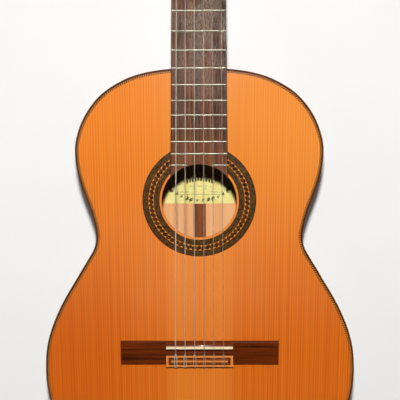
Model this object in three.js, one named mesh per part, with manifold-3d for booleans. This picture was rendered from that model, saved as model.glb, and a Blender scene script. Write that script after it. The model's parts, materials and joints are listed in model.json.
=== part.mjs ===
// A classical guitar with a 650 mm scale, lying on its back. Millimetres, +X to the treble side,
// +Y towards the headstock, +Z out of the soundboard. Every piece is drawn from the 12th fret, with z = 0 on
// the soundboard, and the whole is then moved so that the origin is under the middle of its box.
import * as THREE from "three";
import { mergeVertices } from "three/addons/utils/BufferGeometryUtils.js";
import Module from "manifold-3d";

// ---- Driving dimensions ------------------------------------------------------------------------------------

const SCALE = 650; // nut to saddle, before compensation
const NUT_Y = SCALE / 2; // the body joins the neck at the 12th fret, half the scale
const NUT_WIDTH = 52;
const JOIN_WIDTH = 62; // fretboard width at the 12th fret
const FRETS = 19;

const BODY_LENGTH = 488;
const SIDE_DEPTH = 96; // soundboard to the edge of the back
const BACK_ARCH = 4; // how far the back bulges past its edge
const PLATE = 2.5; // thickness of the soundboard, the back and the purfling
const SIDE_THICK = 2.2;
const BINDING_WIDTH = 2.4;
const BINDING_HEIGHT = 6;
const PURFLING_WIDTH = 2.2;
const LINING_WIDTH = 6;
const LINING_HEIGHT = 14;
const GLUE = 0.3; // gap left at every glued or resting joint

const HOLE_Y = -150.8; // centre of the soundhole
const HOLE_RADIUS = 43.5;
const ROSETTE_INNER = 46.4;
const ROSETTE_OUTER = 65.6;
const ROSETTE_DEPTH = 1.4;

const BOARD_THICK = 7; // fretboard
const FRET_HEIGHT = 1;
const FRET_WIDTH = 2.2;

const HEAD_LENGTH = 185;
const HEAD_TILT = THREE.MathUtils.degToRad(13);
const HEAD_THICK = 17;
const HEAD_HALF_WIDTH = 36;
const VENEER = 2;
const NUT_THICK = 5;
const HEAD_Y = NUT_Y + NUT_THICK; // where the headstock's face starts
const SLOT_INNER = 7.2; // a slot's two long walls, from the centreline
const SLOT_OUTER = 24;
const SLOT_START = 24; // along the headstock from the nut
const SLOT_END = 154;

const ROLLER_SPOTS = [60, 95, 130]; // the three rollers of one side, along the headstock
const ROLLER_Z = -HEAD_THICK / 2;
const ROLLER_RADIUS = 4.8;
const AXLE_RADIUS = 3.2;
const PIVOT_RADIUS = 2.8; // the roller's blind end
const RUNNING = 0.08; // radial clearance of a shaft that turns in its hole
const GEAR_TEETH = 16;
const WORM_OFFSET = 8.9; // between the roller's axis and the worm's
const WORM_CORE = 1.6;
const EAR_REACH = 6; // from a worm's middle to the middle of its ears
const PLATE_METAL = 1.2; // thickness of a tuning machine's side plate
const GEAR_X = HEAD_HALF_WIDTH + GLUE + PLATE_METAL + 0.6; // inner face of a gear
const GEAR_THICK = 2.4;
const WORM_X = GEAR_X + GEAR_THICK / 2;
const BUTTON_TOP = -HEAD_THICK - 6; // where a button starts, behind the headstock

const SADDLE_Y = -NUT_Y - 1.5; // 1.5 mm of compensation
const SADDLE_TOP = 12;
const NUT_TOP = 8.6;
const BRIDGE_LENGTH = 190;
const BRIDGE_FRONT = -321;
const BRIDGE_BACK = -350.4;
const WING_HEIGHT = 3.4;
const SADDLE_BLOCK_BACK = -330;
const SADDLE_BLOCK_TOP = 8.5;
const TIE_FRONT = -336.4;
const TIE_TOP = 9.5;
const TIE_HALF = 40;
const TIE_HOLE_Z = 4.8;

// Radius of each string, from the first (treble E) to the sixth (bass E).
const STRING_RADII = [0.36, 0.41, 0.51, 0.38, 0.46, 0.56];
const SPREAD_AT_NUT = 43; // first string to sixth
const SPREAD_AT_SADDLE = 57;

// Right half of the body's outline, from the neck joint to the tail.
const HALF_OUTLINE = [
  [0, 0],
  [46, -2],
  [80, -10.5],
  [111, -29],
  [132, -56],
  [142, -86],
  [141.4, -110],
  [137.5, -129],
  [131.4, -148],
  [125.4, -166],
  [122, -181],
  [120.7, -192],
  [121.7, -202],
  [126.9, -213],
  [145.6, -244],
  [168, -283],
  [183, -323],
  [187, -359],
  [184, -395],
  [171, -430],
  [143, -461],
  [100, -480],
  [50, -487],
  [0, -BODY_LENGTH],
];
const OUTLINE_STEPS = 48; // straight steps in half an outline

// ---- Materials ---------------------------------------------------------------------------------------------

const finish = (color, roughness, metalness = 0) => new THREE.MeshStandardMaterial({ color, roughness, metalness });
const CEDAR = finish(0xe8873a, 0.25);
const ROSEWOOD = finish(0x4a2412, 0.35);
const ROSEWOOD_INSIDE = finish(0xc98f63, 0.7);
const MAHOGANY = finish(0x7a4427, 0.4);
const SPRUCE = finish(0xd9b98a, 0.7);
const FINGERBOARD = finish(0x6d4a3a, 0.5);
const MAPLE = finish(0xe39a4c, 0.35);
const MARQUETRY = finish(0x4d3d1e, 0.35);
const BONE = finish(0xe9dcb8, 0.35);
const NYLON = finish(0xd8d2c6, 0.2);
const SILVER = finish(0xb5aea2, 0.3, 0.9);
const BRASS = finish(0xc9a24e, 0.3, 1);
const STEEL = finish(0xb8b8b8, 0.3, 1);
const PAPER = finish(0xe8d28c, 0.8);

// ---- Solids ------------------------------------------------------------------------------------------------

const wasm = await Module();
wasm.setup();

// A closed three.js geometry as a manifold solid.
function solid(geometry) {
  const bare = geometry.index ? geometry.toNonIndexed() : geometry.clone();
  bare.deleteAttribute("normal");
  bare.deleteAttribute("uv");
  const merged = mergeVertices(bare, 1e-4);
  return new wasm.Manifold(
    new wasm.Mesh({
      numProp: 3,
      vertProperties: merged.attributes.position.array,
      triVerts: new Uint32Array(merged.index.array),
    }),
  );
}

// A manifold solid back as a three.js geometry.
function geometryOf(body) {
  const mesh = body.getMesh();
  const geometry = new THREE.BufferGeometry();
  geometry.setAttribute("position", new THREE.BufferAttribute(new Float32Array(mesh.vertProperties), 3));
  geometry.setIndex(new THREE.BufferAttribute(new Uint32Array(mesh.triVerts), 1));
  return geometry;
}

const join = (...parts) => geometryOf(parts.map(solid).reduce((a, b) => a.add(b)));
const cut = (whole, ...tools) => geometryOf(tools.map(solid).reduce((a, b) => a.subtract(b), solid(whole)));

// A box from its lowest corner to its highest.
function block(low, high) {
  const size = high.map((v, i) => v - low[i]);
  const centre = high.map((v, i) => (v + low[i]) / 2);
  return new THREE.BoxGeometry(...size).translate(...centre);
}

// A cylinder along "x", "y" or "z", from one coordinate to another on that axis.
function rod(axis, radius, from, to, across = [0, 0, 0], sides = 16) {
  const geometry = new THREE.CylinderGeometry(radius, radius, to - from, sides);
  if (axis === "x") geometry.rotateZ(-Math.PI / 2);
  if (axis === "z") geometry.rotateX(Math.PI / 2);
  const middle = { x: [1, 0, 0], y: [0, 1, 0], z: [0, 0, 1] }[axis].map((v) => (v * (from + to)) / 2);
  return geometry.translate(middle[0] + across[0], middle[1] + across[1], middle[2] + across[2]);
}

// A solid through rings of points that all have the same count. A closed loft joins its last ring to its
// first, as a frame does; an open one has a flat cap on each end.
function loft(rings, closed = false) {
  const count = rings[0].length;
  const position = rings.flat().flatMap((p) => [p.x, p.y, p.z]);
  const index = [];
  const spans = closed ? rings.length : rings.length - 1;
  for (let r = 0; r < spans; r++) {
    const a = r * count;
    const b = ((r + 1) % rings.length) * count;
    for (let k = 0; k < count; k++) {
      const n = (k + 1) % count;
      index.push(a + k, b + n, b + k, a + k, a + n, b + n);
    }
  }
  if (!closed) {
    index.push(...capOf(rings[0], 0, false));
    index.push(...capOf(rings.at(-1), (rings.length - 1) * count, true));
  }
  const geometry = new THREE.BufferGeometry();
  geometry.setAttribute("position", new THREE.Float32BufferAttribute(position, 3));
  geometry.setIndex(index);
  if (solid(geometry).volume() < 0) index.reverse(), geometry.setIndex(index);
  return geometry;
}

// Triangles that close a flat ring, whose first point has the given number. They turn the way the loft's
// walls need: one way round on its first ring and the other on its last.
function capOf(ring, first, last) {
  const normal = new THREE.Vector3();
  ring.forEach((p, k) => {
    const q = ring[(k + 1) % ring.length];
    normal.add(new THREE.Vector3().crossVectors(p, q));
  });
  const turn = new THREE.Quaternion().setFromUnitVectors(normal.normalize(), new THREE.Vector3(0, 0, 1));
  const flat = ring.map((p) => p.clone().applyQuaternion(turn)).map((p) => new THREE.Vector2(p.x, p.y));
  return THREE.ShapeUtils.triangulateShape(flat, []).flatMap(([a, b, c]) =>
    last ? [first + a, first + b, first + c] : [first + c, first + b, first + a],
  );
}

// A flat plate: an outline of [x, y] points, with holes, from one height to another.
function slab(points, low, high, holes = []) {
  const shape = new THREE.Shape(points.map(([x, y]) => new THREE.Vector2(x, y)));
  holes.forEach((hole) => shape.holes.push(new THREE.Path(hole.map(([x, y]) => new THREE.Vector2(x, y)))));
  return new THREE.ExtrudeGeometry(shape, { depth: high - low, bevelEnabled: false }).translate(0, 0, low);
}

// A bar along x, centred, from its outline of [y, z] points.
function bar(points, half) {
  const turn = new THREE.Matrix4().makeBasis(
    new THREE.Vector3(0, 1, 0),
    new THREE.Vector3(0, 0, 1),
    new THREE.Vector3(1, 0, 0),
  );
  return slab(points, -half, half).applyMatrix4(turn);
}

const circle = (radius, x, y, sides) =>
  Array.from({ length: sides }, (_, k) => {
    const turn = (2 * Math.PI * k) / sides;
    return [x + radius * Math.cos(turn), y + radius * Math.sin(turn)];
  });

const root = new THREE.Group();
function add(name, geometry, material, parent = root) {
  const mesh = new THREE.Mesh(geometry, material);
  mesh.name = name;
  parent.add(mesh);
  return mesh;
}

// ---- The body's outline ------------------------------------------------------------------------------------

const mirrored = HALF_OUTLINE.slice(1, -1).reverse().map(([x, y]) => [-x, y]);
const outlineCurve = new THREE.CatmullRomCurve3(
  [...HALF_OUTLINE, ...mirrored].map(([x, y]) => new THREE.Vector3(x, y, 0)),
  true,
  "centripetal",
);

// The outline moved inwards by some distance, as [x, y] points: right half down, then left half up.
function outline(inset) {
  const steps = 2 * OUTLINE_STEPS;
  const half = [];
  for (let k = 0; k <= OUTLINE_STEPS; k++) {
    const point = outlineCurve.getPointAt(k / steps);
    const along = outlineCurve.getTangentAt(k / steps);
    const x = k % OUTLINE_STEPS === 0 ? 0 : point.x + along.y * inset;
    half.push([x, point.y - along.x * inset]);
  }
  return [...half, ...half.slice(1, -1).reverse().map(([x, y]) => [-x, y])];
}

const raised = (points, z) => points.map(([x, y]) => new THREE.Vector3(x, y, z));

// A strip that runs right round the body between two insets.
function hoop(outerInset, innerInset, low, high) {
  const outer = outline(outerInset);
  const inner = outline(innerInset);
  return loft([raised(outer, low), raised(outer, high), raised(inner, high), raised(inner, low)], true);
}

// ---- Sound box ---------------------------------------------------------------------------------------------

const TOP_EDGE = BINDING_WIDTH + PURFLING_WIDTH + 2 * GLUE; // inset of the soundboard's own edge
const BACK_Z = -SIDE_DEPTH;
const INSIDE_TOP = -PLATE - GLUE;
const INSIDE_BACK = BACK_Z + PLATE + GLUE;
const CAVITY = BINDING_WIDTH + GLUE; // inset of what is glued inside the sides
const FLAT = 34; // inset at which the back is flat
const INSIDE_FLAT = BACK_Z - BACK_ARCH + PLATE + GLUE; // just above the back's flat middle
const TENON_HALF = 10;
const HEAD_BLOCK_HALF = 30;
const HEAD_BLOCK_FRONT = -11;
const HEAD_BLOCK_BACK = -35;
const TAIL_BLOCK_HALF = 28;
const TAIL_BLOCK_FRONT = -469;
const LABEL_END = -170; // the edge of the label that shows in the soundhole

function soundboard() {
  const inset = outline(TOP_EDGE);
  const board = slab(inset, -PLATE, 0, [circle(HOLE_RADIUS, 0, HOLE_Y, 48)]);
  const channel = ring(ROSETTE_INNER - GLUE, ROSETTE_OUTER + GLUE, -ROSETTE_DEPTH - GLUE, 1, 64);
  return cut(board, channel);
}

// A flat ring round the soundhole.
function ring(inner, outer, low, high, sides) {
  return slab(circle(outer, 0, HOLE_Y, sides), low, high, [circle(inner, 0, HOLE_Y, sides)]);
}

// The back: flat in the middle, where it rests, and rising to its edge.
function backPlate() {
  const steps = [
    [CAVITY, 0],
    [14, 0.55],
    [FLAT, 1],
  ]; // inset from the outline, and share of the arch
  const skin = (lift) => steps.map(([inset, share]) => raised(outline(inset), BACK_Z + lift - BACK_ARCH * share));
  return loft([...skin(0).reverse(), ...skin(PLATE)]);
}

// One bent side, from the neck's tenon to the tail's centreline.
function side(sign) {
  const outer = outline(0).slice(0, OUTLINE_STEPS + 1);
  const inner = outline(SIDE_THICK).slice(0, OUTLINE_STEPS + 1);
  const band = [...outer, ...inner.reverse()].map(([x, y]) => [sign * Math.max(x, GLUE / 2), y]);
  const low = BACK_Z + BINDING_HEIGHT + GLUE;
  const wall = slab(band, low, -BINDING_HEIGHT - GLUE);
  const tenon = block([-TENON_HALF - GLUE, -10, low - 1], [TENON_HALF + GLUE, 10, 0]);
  return cut(wall, tenon);
}

// A strip that thickens the sides' edge inside. It stops at the tail block.
function lining(low) {
  const high = low + LINING_HEIGHT;
  const strip = hoop(CAVITY, CAVITY + LINING_WIDTH, low, high);
  const reach = TAIL_BLOCK_HALF + GLUE;
  return cut(strip, block([-reach, -BODY_LENGTH, low - 1], [reach, TAIL_BLOCK_FRONT + 3, high + 1]));
}

function tailBlock() {
  const outside = -BODY_LENGTH + CAVITY + 1.4;
  return bar(
    [
      [outside, INSIDE_TOP],
      [outside, INSIDE_BACK - 0.2],
      [-474, INSIDE_BACK - 2.2],
      [TAIL_BLOCK_FRONT, INSIDE_BACK - 2.7],
      [TAIL_BLOCK_FRONT, INSIDE_TOP],
    ],
    TAIL_BLOCK_HALF,
  );
}

// Half the free width at some distance from the 12th fret, for a given inset from the outline.
function insideHalf(y, inset) {
  const right = outline(inset).slice(0, OUTLINE_STEPS + 1);
  const k = right.findIndex((p, n) => n > 0 && p[1] <= y);
  const [x0, y0] = right[k - 1];
  const [x1, y1] = right[k];
  return x0 + ((x1 - x0) * (y0 - y)) / (y0 - y1);
}

// A bar glued across the soundboard (up = -1) or across the back (up = 1), scooped at its ends.
function crossBrace(y, width, height, up) {
  const inset = up > 0 ? FLAT + 1 : CAVITY + LINING_WIDTH + 1;
  const half = Math.min(insideHalf(y - width / 2, inset), insideHalf(y + width / 2, inset));
  const base = up > 0 ? INSIDE_FLAT : INSIDE_TOP;
  const notch = up > 0 ? STRIP_HALF + GLUE : 1;
  const clear = up > 0 ? STRIP_THICK + GLUE : 0;
  const profile = [
    [-half, 0],
    [-notch, 0],
    [-notch, clear],
    [notch, clear],
    [notch, 0],
    [half, 0],
    [half, 4],
    [half - 35, height],
    [35 - half, height],
    [-half, 4],
  ].filter(([x], k) => up > 0 || ![1, 2, 3, 4].includes(k));
  const shape = new THREE.Shape(profile.map(([x, z]) => new THREE.Vector2(x, up * z)));
  const brace = new THREE.ExtrudeGeometry(shape, { depth: width, bevelEnabled: false });
  return brace.rotateX(Math.PI / 2).translate(0, y + width / 2, base);
}

const STRIP_HALF = 8;
const STRIP_THICK = 1.2;

// The strip that covers the back's centre seam, from the label to the tail block.
function backStrip() {
  const end = TAIL_BLOCK_FRONT + 14;
  return block([-STRIP_HALF, end, INSIDE_FLAT], [STRIP_HALF, LABEL_END - GLUE, INSIDE_FLAT + STRIP_THICK]);
}

const label = () => block([-46, LABEL_END, INSIDE_FLAT], [46, LABEL_END + 62, INSIDE_FLAT + 0.3]);

// Seven fan braces under the lower bout, joined by the thin patch that lies under the bridge.
function fanBracing() {
  const fans = [-3, -2, -1, 0, 1, 2, 3].map((k) => {
    const length = 205 - 16 * Math.abs(k);
    const fan = block([-2.5, -length, -5], [2.5, 0, 0]);
    return fan.rotateZ(k * 0.075).translate(k * 14, -232, INSIDE_TOP);
  });
  const patch = block([-92, BRIDGE_BACK + 4, INSIDE_TOP - 1.6], [92, BRIDGE_FRONT - 4, INSIDE_TOP]);
  return join(patch, ...fans);
}

// ---- Neck, fretboard and headstock -------------------------------------------------------------------------

const boardHalf = (y) => (NUT_WIDTH + ((JOIN_WIDTH - NUT_WIDTH) * (NUT_Y - y)) / NUT_Y) / 2;

const HEEL_BASE = BACK_Z + 4; // underside of the heel, above its cap

// One round-backed section of the neck, cut off flat at the heel's base.
function neckSection(y, depth) {
  const half = boardHalf(Math.max(y, 0));
  const points = [];
  for (let k = 0; k <= 12; k++) {
    const turn = (Math.PI * k) / 12;
    points.push(new THREE.Vector3(half * Math.cos(turn), y, Math.max(-depth * Math.sin(turn), HEEL_BASE)));
  }
  return points;
}

// Neck, heel and foot are carved as one piece; the foot lies on the back inside the body.
function neck() {
  const profile = [
    [HEAD_Y, 18],
    [312, 16],
    [290, 15.2],
    [90, 17.5],
    [66, 20],
    [48, 27],
    [36, 40],
    [29, 58],
    [25, 80],
    [22.5, 104],
    [GLUE, 112],
  ]; // distance from the 12th fret, and depth under the fretboard
  const shaft = loft(profile.map(([y, depth]) => neckSection(y, depth)));
  const tenonTop = INSIDE_TOP - LINING_HEIGHT - GLUE;
  const tenonBase = INSIDE_BACK + LINING_HEIGHT + GLUE;
  const tenon = block([-TENON_HALF, HEAD_BLOCK_FRONT - 1, tenonBase], [TENON_HALF, 1, tenonTop]);
  const foot = bar(
    [
      [HEAD_BLOCK_FRONT, INSIDE_TOP],
      [HEAD_BLOCK_FRONT, INSIDE_BACK - 1.5],
      [-14, INSIDE_BACK - 2.1],
      [HEAD_BLOCK_BACK, INSIDE_FLAT],
      [HEAD_BLOCK_BACK - 28, INSIDE_FLAT],
      [HEAD_BLOCK_BACK - 28, INSIDE_FLAT + 7],
      [HEAD_BLOCK_BACK, INSIDE_FLAT + 14],
      [HEAD_BLOCK_BACK, INSIDE_TOP],
    ],
    HEAD_BLOCK_HALF,
  );
  return join(shaft, tenon, foot);
}

// The thin hardwood cap on the heel, shaped like the heel's own end.
function heelCap() {
  const rounded = (y, depth) => neckSection(y, depth).find((p) => p.z <= HEEL_BASE).x;
  const wide = rounded(GLUE, 112);
  const narrow = rounded(22.5, 104);
  const right = [
    [wide, GLUE],
    [narrow, 22.5],
  ];
  const points = [...right, ...right.map(([x, y]) => [-x, y]).reverse()];
  return slab(points, BACK_Z, HEEL_BASE - GLUE);
}

const fretY = (n) => NUT_Y - SCALE * (1 - 2 ** (-n / 12));

// The fretboard ends on the soundhole's curve. Its frets are joined to it here.
function fretboard() {
  const end = HOLE_Y + 20;
  const nutEnd = NUT_Y - GLUE;
  const board = slab(
    [
      [-boardHalf(end), end],
      [boardHalf(end), end],
      [boardHalf(nutEnd), nutEnd],
      [-boardHalf(nutEnd), nutEnd],
    ],
    GLUE,
    BOARD_THICK,
  );
  const crowns = Array.from({ length: FRETS }, (_, k) => fret(fretY(k + 1)));
  const hole = slab(circle(HOLE_RADIUS, 0, HOLE_Y, 48), -1, BOARD_THICK + 5);
  return cut(join(board, ...crowns), hole);
}

function fret(y) {
  const w = FRET_WIDTH / 2;
  const crown = [
    [-w, -0.5],
    [w, -0.5],
    [w, 0.2],
    [w / 2, FRET_HEIGHT],
    [-w / 2, FRET_HEIGHT],
    [-w, 0.2],
  ];
  return bar(crown.map(([dy, dz]) => [y + dy, BOARD_THICK + dz]), boardHalf(y) - 0.3);
}

function nut() {
  return bar(
    [
      [NUT_Y, GLUE],
      [HEAD_Y - GLUE, GLUE],
      [HEAD_Y - GLUE, NUT_TOP - 1.2],
      [NUT_Y + 2, NUT_TOP],
      [NUT_Y, NUT_TOP],
    ],
    NUT_WIDTH / 2 - 0.3,
  );
}

// The headstock has its own frame: y along its face from the nut, z out of its face.
const head = new THREE.Group();
head.position.set(0, HEAD_Y + GLUE, 0);
head.rotation.x = -HEAD_TILT;
root.add(head);

function headOutline() {
  const shape = new THREE.Shape();
  const half = NUT_WIDTH / 2;
  const shoulder = HEAD_LENGTH - 17;
  shape.moveTo(-half, 0);
  shape.lineTo(half, 0);
  shape.bezierCurveTo(half, 12, HEAD_HALF_WIDTH, 8, HEAD_HALF_WIDTH, 26);
  shape.lineTo(HEAD_HALF_WIDTH, shoulder);
  shape.bezierCurveTo(HEAD_HALF_WIDTH - 4, shoulder + 10, 16, HEAD_LENGTH - 1, 0, HEAD_LENGTH);
  shape.bezierCurveTo(-16, HEAD_LENGTH - 1, 4 - HEAD_HALF_WIDTH, shoulder + 10, -HEAD_HALF_WIDTH, shoulder);
  shape.lineTo(-HEAD_HALF_WIDTH, 26);
  shape.bezierCurveTo(-HEAD_HALF_WIDTH, 8, -half, 12, -half, 0);
  const points = shape.getPoints(6).map((p) => [p.x, p.y]);
  return points.slice(0, -1);
}

// A slot with round ends, on the treble side (sign 1) or the bass side (sign -1).
function slotOutline(sign) {
  const radius = (SLOT_OUTER - SLOT_INNER) / 2;
  const middle = (SLOT_OUTER + SLOT_INNER) / 2;
  const arc = (y, from) =>
    Array.from({ length: 9 }, (_, k) => {
      const turn = from + (Math.PI * k) / 8;
      return [sign * middle + radius * Math.cos(turn), y + radius * Math.sin(turn)];
    });
  return [...arc(SLOT_END - radius, 0), ...arc(SLOT_START + radius, Math.PI)];
}

const slots = [slotOutline(1), slotOutline(-1)];

function headstock() {
  const blank = slab(headOutline(), -HEAD_THICK, 0, slots);
  const bores = ROLLER_SPOTS.flatMap((y) => [
    bore("x", AXLE_RADIUS, SLOT_OUTER - 3, HEAD_HALF_WIDTH + 1, [0, y, ROLLER_Z]),
    bore("x", AXLE_RADIUS, -HEAD_HALF_WIDTH - 1, 3 - SLOT_OUTER, [0, y, ROLLER_Z]),
    bore("x", PIVOT_RADIUS, 3, SLOT_INNER + 2, [0, y, ROLLER_Z]),
    bore("x", PIVOT_RADIUS, -SLOT_INNER - 2, -3, [0, y, ROLLER_Z]),
  ]);
  const neckEnd = block([-60, -20, -30], [60, 0, 10]).rotateX(HEAD_TILT); // upright, where the neck ends
  return cut(blank, ...bores, neckEnd);
}

// ---- Tuning machines ---------------------------------------------------------------------------------------

// The tool that cuts a hole in which a shaft of some radius turns freely.
function bore(axis, radius, from, to, across, sides = 16) {
  return rod(axis, (radius + RUNNING) / Math.cos(Math.PI / sides), from, to, across, sides);
}

// A side plate with its rollers' holes and, at each worm, two ears that carry the worm's shaft.
function tunerPlate(sign) {
  const inner = HEAD_HALF_WIDTH + GLUE;
  const outer = inner + PLATE_METAL;
  const strip = block([inner, 38, ROLLER_Z - EAR_REACH - 1], [outer, 148, ROLLER_Z + EAR_REACH + 1]);
  const ears = [];
  const holes = [];
  for (const y of ROLLER_SPOTS) {
    const wormY = y - WORM_OFFSET;
    for (const z of [ROLLER_Z - EAR_REACH, ROLLER_Z + EAR_REACH]) {
      ears.push(block([outer - 0.5, wormY - 2.4, z - 1], [WORM_X + 2.6, wormY + 2.4, z + 1]));
    }
    holes.push(bore("z", WORM_CORE, -HEAD_THICK, 1, [WORM_X, wormY, 0], 12));
    holes.push(bore("x", AXLE_RADIUS, inner - 1, outer + 1, [0, y, ROLLER_Z]));
  }
  const plate = cut(join(strip, ...ears), ...holes);
  return sign > 0 ? plate : mirrorX(plate);
}

// The same shape on the other side of the headstock, with its faces still pointing out.
function mirrorX(geometry) {
  const turned = geometry.clone().scale(-1, 1, 1);
  const index = Array.from(turned.index.array);
  for (let k = 0; k < index.length; k += 3) {
    [index[k], index[k + 1]] = [index[k + 1], index[k]];
  }
  turned.setIndex(index);
  return turned;
}

// A roller with its axle, turned about x. Its blind end turns in the headstock's middle web.
function stringRoller() {
  const profile = [
    [0, 3.6],
    [PIVOT_RADIUS, 3.6],
    [PIVOT_RADIUS, SLOT_INNER + 0.6],
    [ROLLER_RADIUS, SLOT_INNER + 0.6],
    [ROLLER_RADIUS, SLOT_OUTER - 0.6],
    [AXLE_RADIUS, SLOT_OUTER - 0.6],
    [AXLE_RADIUS, GEAR_X - GLUE],
    [0, GEAR_X - GLUE],
  ].map(([radius, x]) => new THREE.Vector2(radius, x));
  return new THREE.LatheGeometry(profile, 16).rotateZ(-Math.PI / 2);
}

// A worm wheel that turns about x, with a gap between two teeth on the worm's side.
function gearWheel() {
  const points = [];
  for (let k = 0; k < GEAR_TEETH; k++) {
    const middle = Math.PI + ((k + 0.5) * 2 * Math.PI) / GEAR_TEETH;
    for (const [radius, halfWidth] of [
      [5.5, -0.72],
      [7, -0.3],
      [7, 0.3],
      [5.5, 0.72],
    ]) {
      const turn = middle + halfWidth / radius;
      points.push([radius * Math.cos(turn), radius * Math.sin(turn)]);
    }
  }
  return bar(points, GEAR_THICK / 2);
}

// The worm's shaft, along z, with a collar outside each ear. Its thread is too fine to be cut in it.
function wormShaft() {
  const tip = EAR_REACH + 1 + GLUE;
  const button = BUTTON_TOP - ROLLER_Z + GLUE;
  const profile = [
    [0, button],
    [WORM_CORE, button],
    [WORM_CORE, -tip - 1],
    [2.5, -tip - 1],
    [2.5, -tip],
    [WORM_CORE, -tip],
    [WORM_CORE, tip],
    [2.5, tip],
    [2.5, tip + 0.8],
    [0, tip + 0.8],
  ].map(([radius, z]) => new THREE.Vector2(radius, z));
  return new THREE.LatheGeometry(profile, 12).rotateX(Math.PI / 2);
}

// An oval button, widest in its middle.
function button() {
  const levels = [
    [0, 0.45],
    [2.5, 0.8],
    [7, 1],
    [12, 0.92],
    [15, 0.62],
  ]; // drop from the button's top, and share of its full size
  const rings = levels.map(([drop, size]) =>
    circle(1, 0, 0, 16).map(([x, y]) => new THREE.Vector3(4.2 * size * x, 9.5 * size * y, BUTTON_TOP - drop)),
  );
  return loft(rings);
}

// Tuning machines for one side of the headstock. Strings 1 to 3 are on the treble side and 4 to 6 on the bass
// side; the outer string of each three goes to the roller next to the nut.
function tuners(sign, strings) {
  const words = sign > 0 ? "treble" : "bass";
  add("tuner_plate_" + words, tunerPlate(sign), BRASS, head);
  strings.forEach((string, place) => {
    const y = ROLLER_SPOTS[place];
    const roller = stringRoller();
    if (sign < 0) roller.rotateY(Math.PI);
    add("string_roller_" + string, roller, BONE, head).position.set(0, y, ROLLER_Z);
    add("gear_" + string, gearWheel(), BRASS, head).position.set(sign * WORM_X, y, ROLLER_Z);
    add("worm_shaft_" + string, wormShaft(), STEEL, head).position.set(sign * WORM_X, y - WORM_OFFSET, ROLLER_Z);
    add("tuner_button_" + string, button(), BONE, head).position.set(sign * WORM_X, y - WORM_OFFSET, 0);
  });
}

// ---- Bridge and strings ------------------------------------------------------------------------------------

const stringSide = (string) => (3.5 - string) / 5; // -0.5 at the sixth string to 0.5 at the first

function bridge() {
  const wings = block([-BRIDGE_LENGTH / 2, BRIDGE_BACK, GLUE], [BRIDGE_LENGTH / 2, BRIDGE_FRONT, WING_HEIGHT]);
  const saddleBlock = bar(
    [
      [SADDLE_BLOCK_BACK, GLUE],
      [BRIDGE_FRONT, GLUE],
      [BRIDGE_FRONT, WING_HEIGHT],
      [BRIDGE_FRONT - 1, WING_HEIGHT + 2.6],
      [BRIDGE_FRONT - 3, SADDLE_BLOCK_TOP],
      [SADDLE_BLOCK_BACK, SADDLE_BLOCK_TOP],
    ],
    TIE_HALF,
  );
  const tieBlock = block([-TIE_HALF, BRIDGE_BACK, GLUE], [TIE_HALF, TIE_FRONT, TIE_TOP]);
  const slot = block([-TIE_HALF - 1, SADDLE_Y - 1.8, WING_HEIGHT], [TIE_HALF + 1, SADDLE_Y + 1.8, SADDLE_TOP]);
  const rebate = block([-TIE_HALF - 1, BRIDGE_BACK - 1, TIE_TOP - 1], [TIE_HALF + 1, TIE_FRONT + 1, TIE_TOP + 1]);
  const holes = STRING_RADII.map((_, k) => {
    const x = stringSide(k + 1) * SPREAD_AT_SADDLE;
    return rod("y", 1.2, BRIDGE_BACK - 1, TIE_FRONT + 1, [x, 0, TIE_HOLE_Z], 8);
  });
  return cut(join(wings, saddleBlock, tieBlock), slot, rebate, ...holes);
}

// The light wood plate that faces the tie block, with a dark-filled window in it.
function tieBlockInlay() {
  const half = TIE_HALF;
  const frame = block([-half, BRIDGE_BACK, TIE_TOP - 1 + GLUE], [half, TIE_FRONT, TIE_TOP]);
  const window = block([3 - half, BRIDGE_BACK + 2.3, TIE_TOP - 2], [half - 3, TIE_FRONT - 2.3, TIE_TOP + 1]);
  return cut(frame, window);
}

function saddle() {
  return bar(
    [
      [-1.5, WING_HEIGHT + GLUE],
      [1.5, WING_HEIGHT + GLUE],
      [1.5, SADDLE_TOP - 1],
      [0.6, SADDLE_TOP],
      [-0.4, SADDLE_TOP],
      [-1.5, SADDLE_TOP - 1.8],
    ].map(([dy, z]) => [SADDLE_Y + dy, z]),
    TIE_HALF - 0.4,
  );
}

// A string from the top of the tie block, round its back, through its hole, and over the saddle and the nut to
// its roller. Each step is a ring square to the string.
function stringLine(string) {
  const radius = STRING_RADII[string - 1];
  const lift = radius + 0.15;
  const tieX = stringSide(string) * SPREAD_AT_SADDLE;
  const nutX = stringSide(string) * SPREAD_AT_NUT;
  const place = string <= 3 ? string - 1 : 6 - string; // 0 at the roller next to the nut
  const rollerX = Math.sign(nutX) * [19.5, 15, 12.2][place];
  const end = new THREE.Vector3(rollerX, ROLLER_SPOTS[place], ROLLER_Z + ROLLER_RADIUS + lift);
  head.updateMatrix();
  end.applyMatrix4(head.matrix);
  const back = BRIDGE_BACK - lift;
  const route = [
    [tieX, TIE_FRONT - 1, TIE_TOP + lift],
    [tieX, BRIDGE_BACK, TIE_TOP + lift],
    [tieX, back - 0.3, TIE_TOP - 0.6],
    [tieX, back - 0.3, TIE_HOLE_Z + 0.8],
    [tieX, BRIDGE_BACK - 0.2, TIE_HOLE_Z],
    [tieX, TIE_FRONT + 0.6, TIE_HOLE_Z],
    [tieX, SADDLE_Y - 0.4, SADDLE_TOP + lift],
    [tieX, SADDLE_Y + 0.6, SADDLE_TOP + lift],
    [nutX, NUT_Y + 0.4, NUT_TOP + lift],
    [nutX, NUT_Y + 2, NUT_TOP + lift],
    end.toArray(),
  ].map((p) => new THREE.Vector3(...p));
  return loft(route.map((p, k) => ringAcross(route, k, radius)));
}

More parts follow.
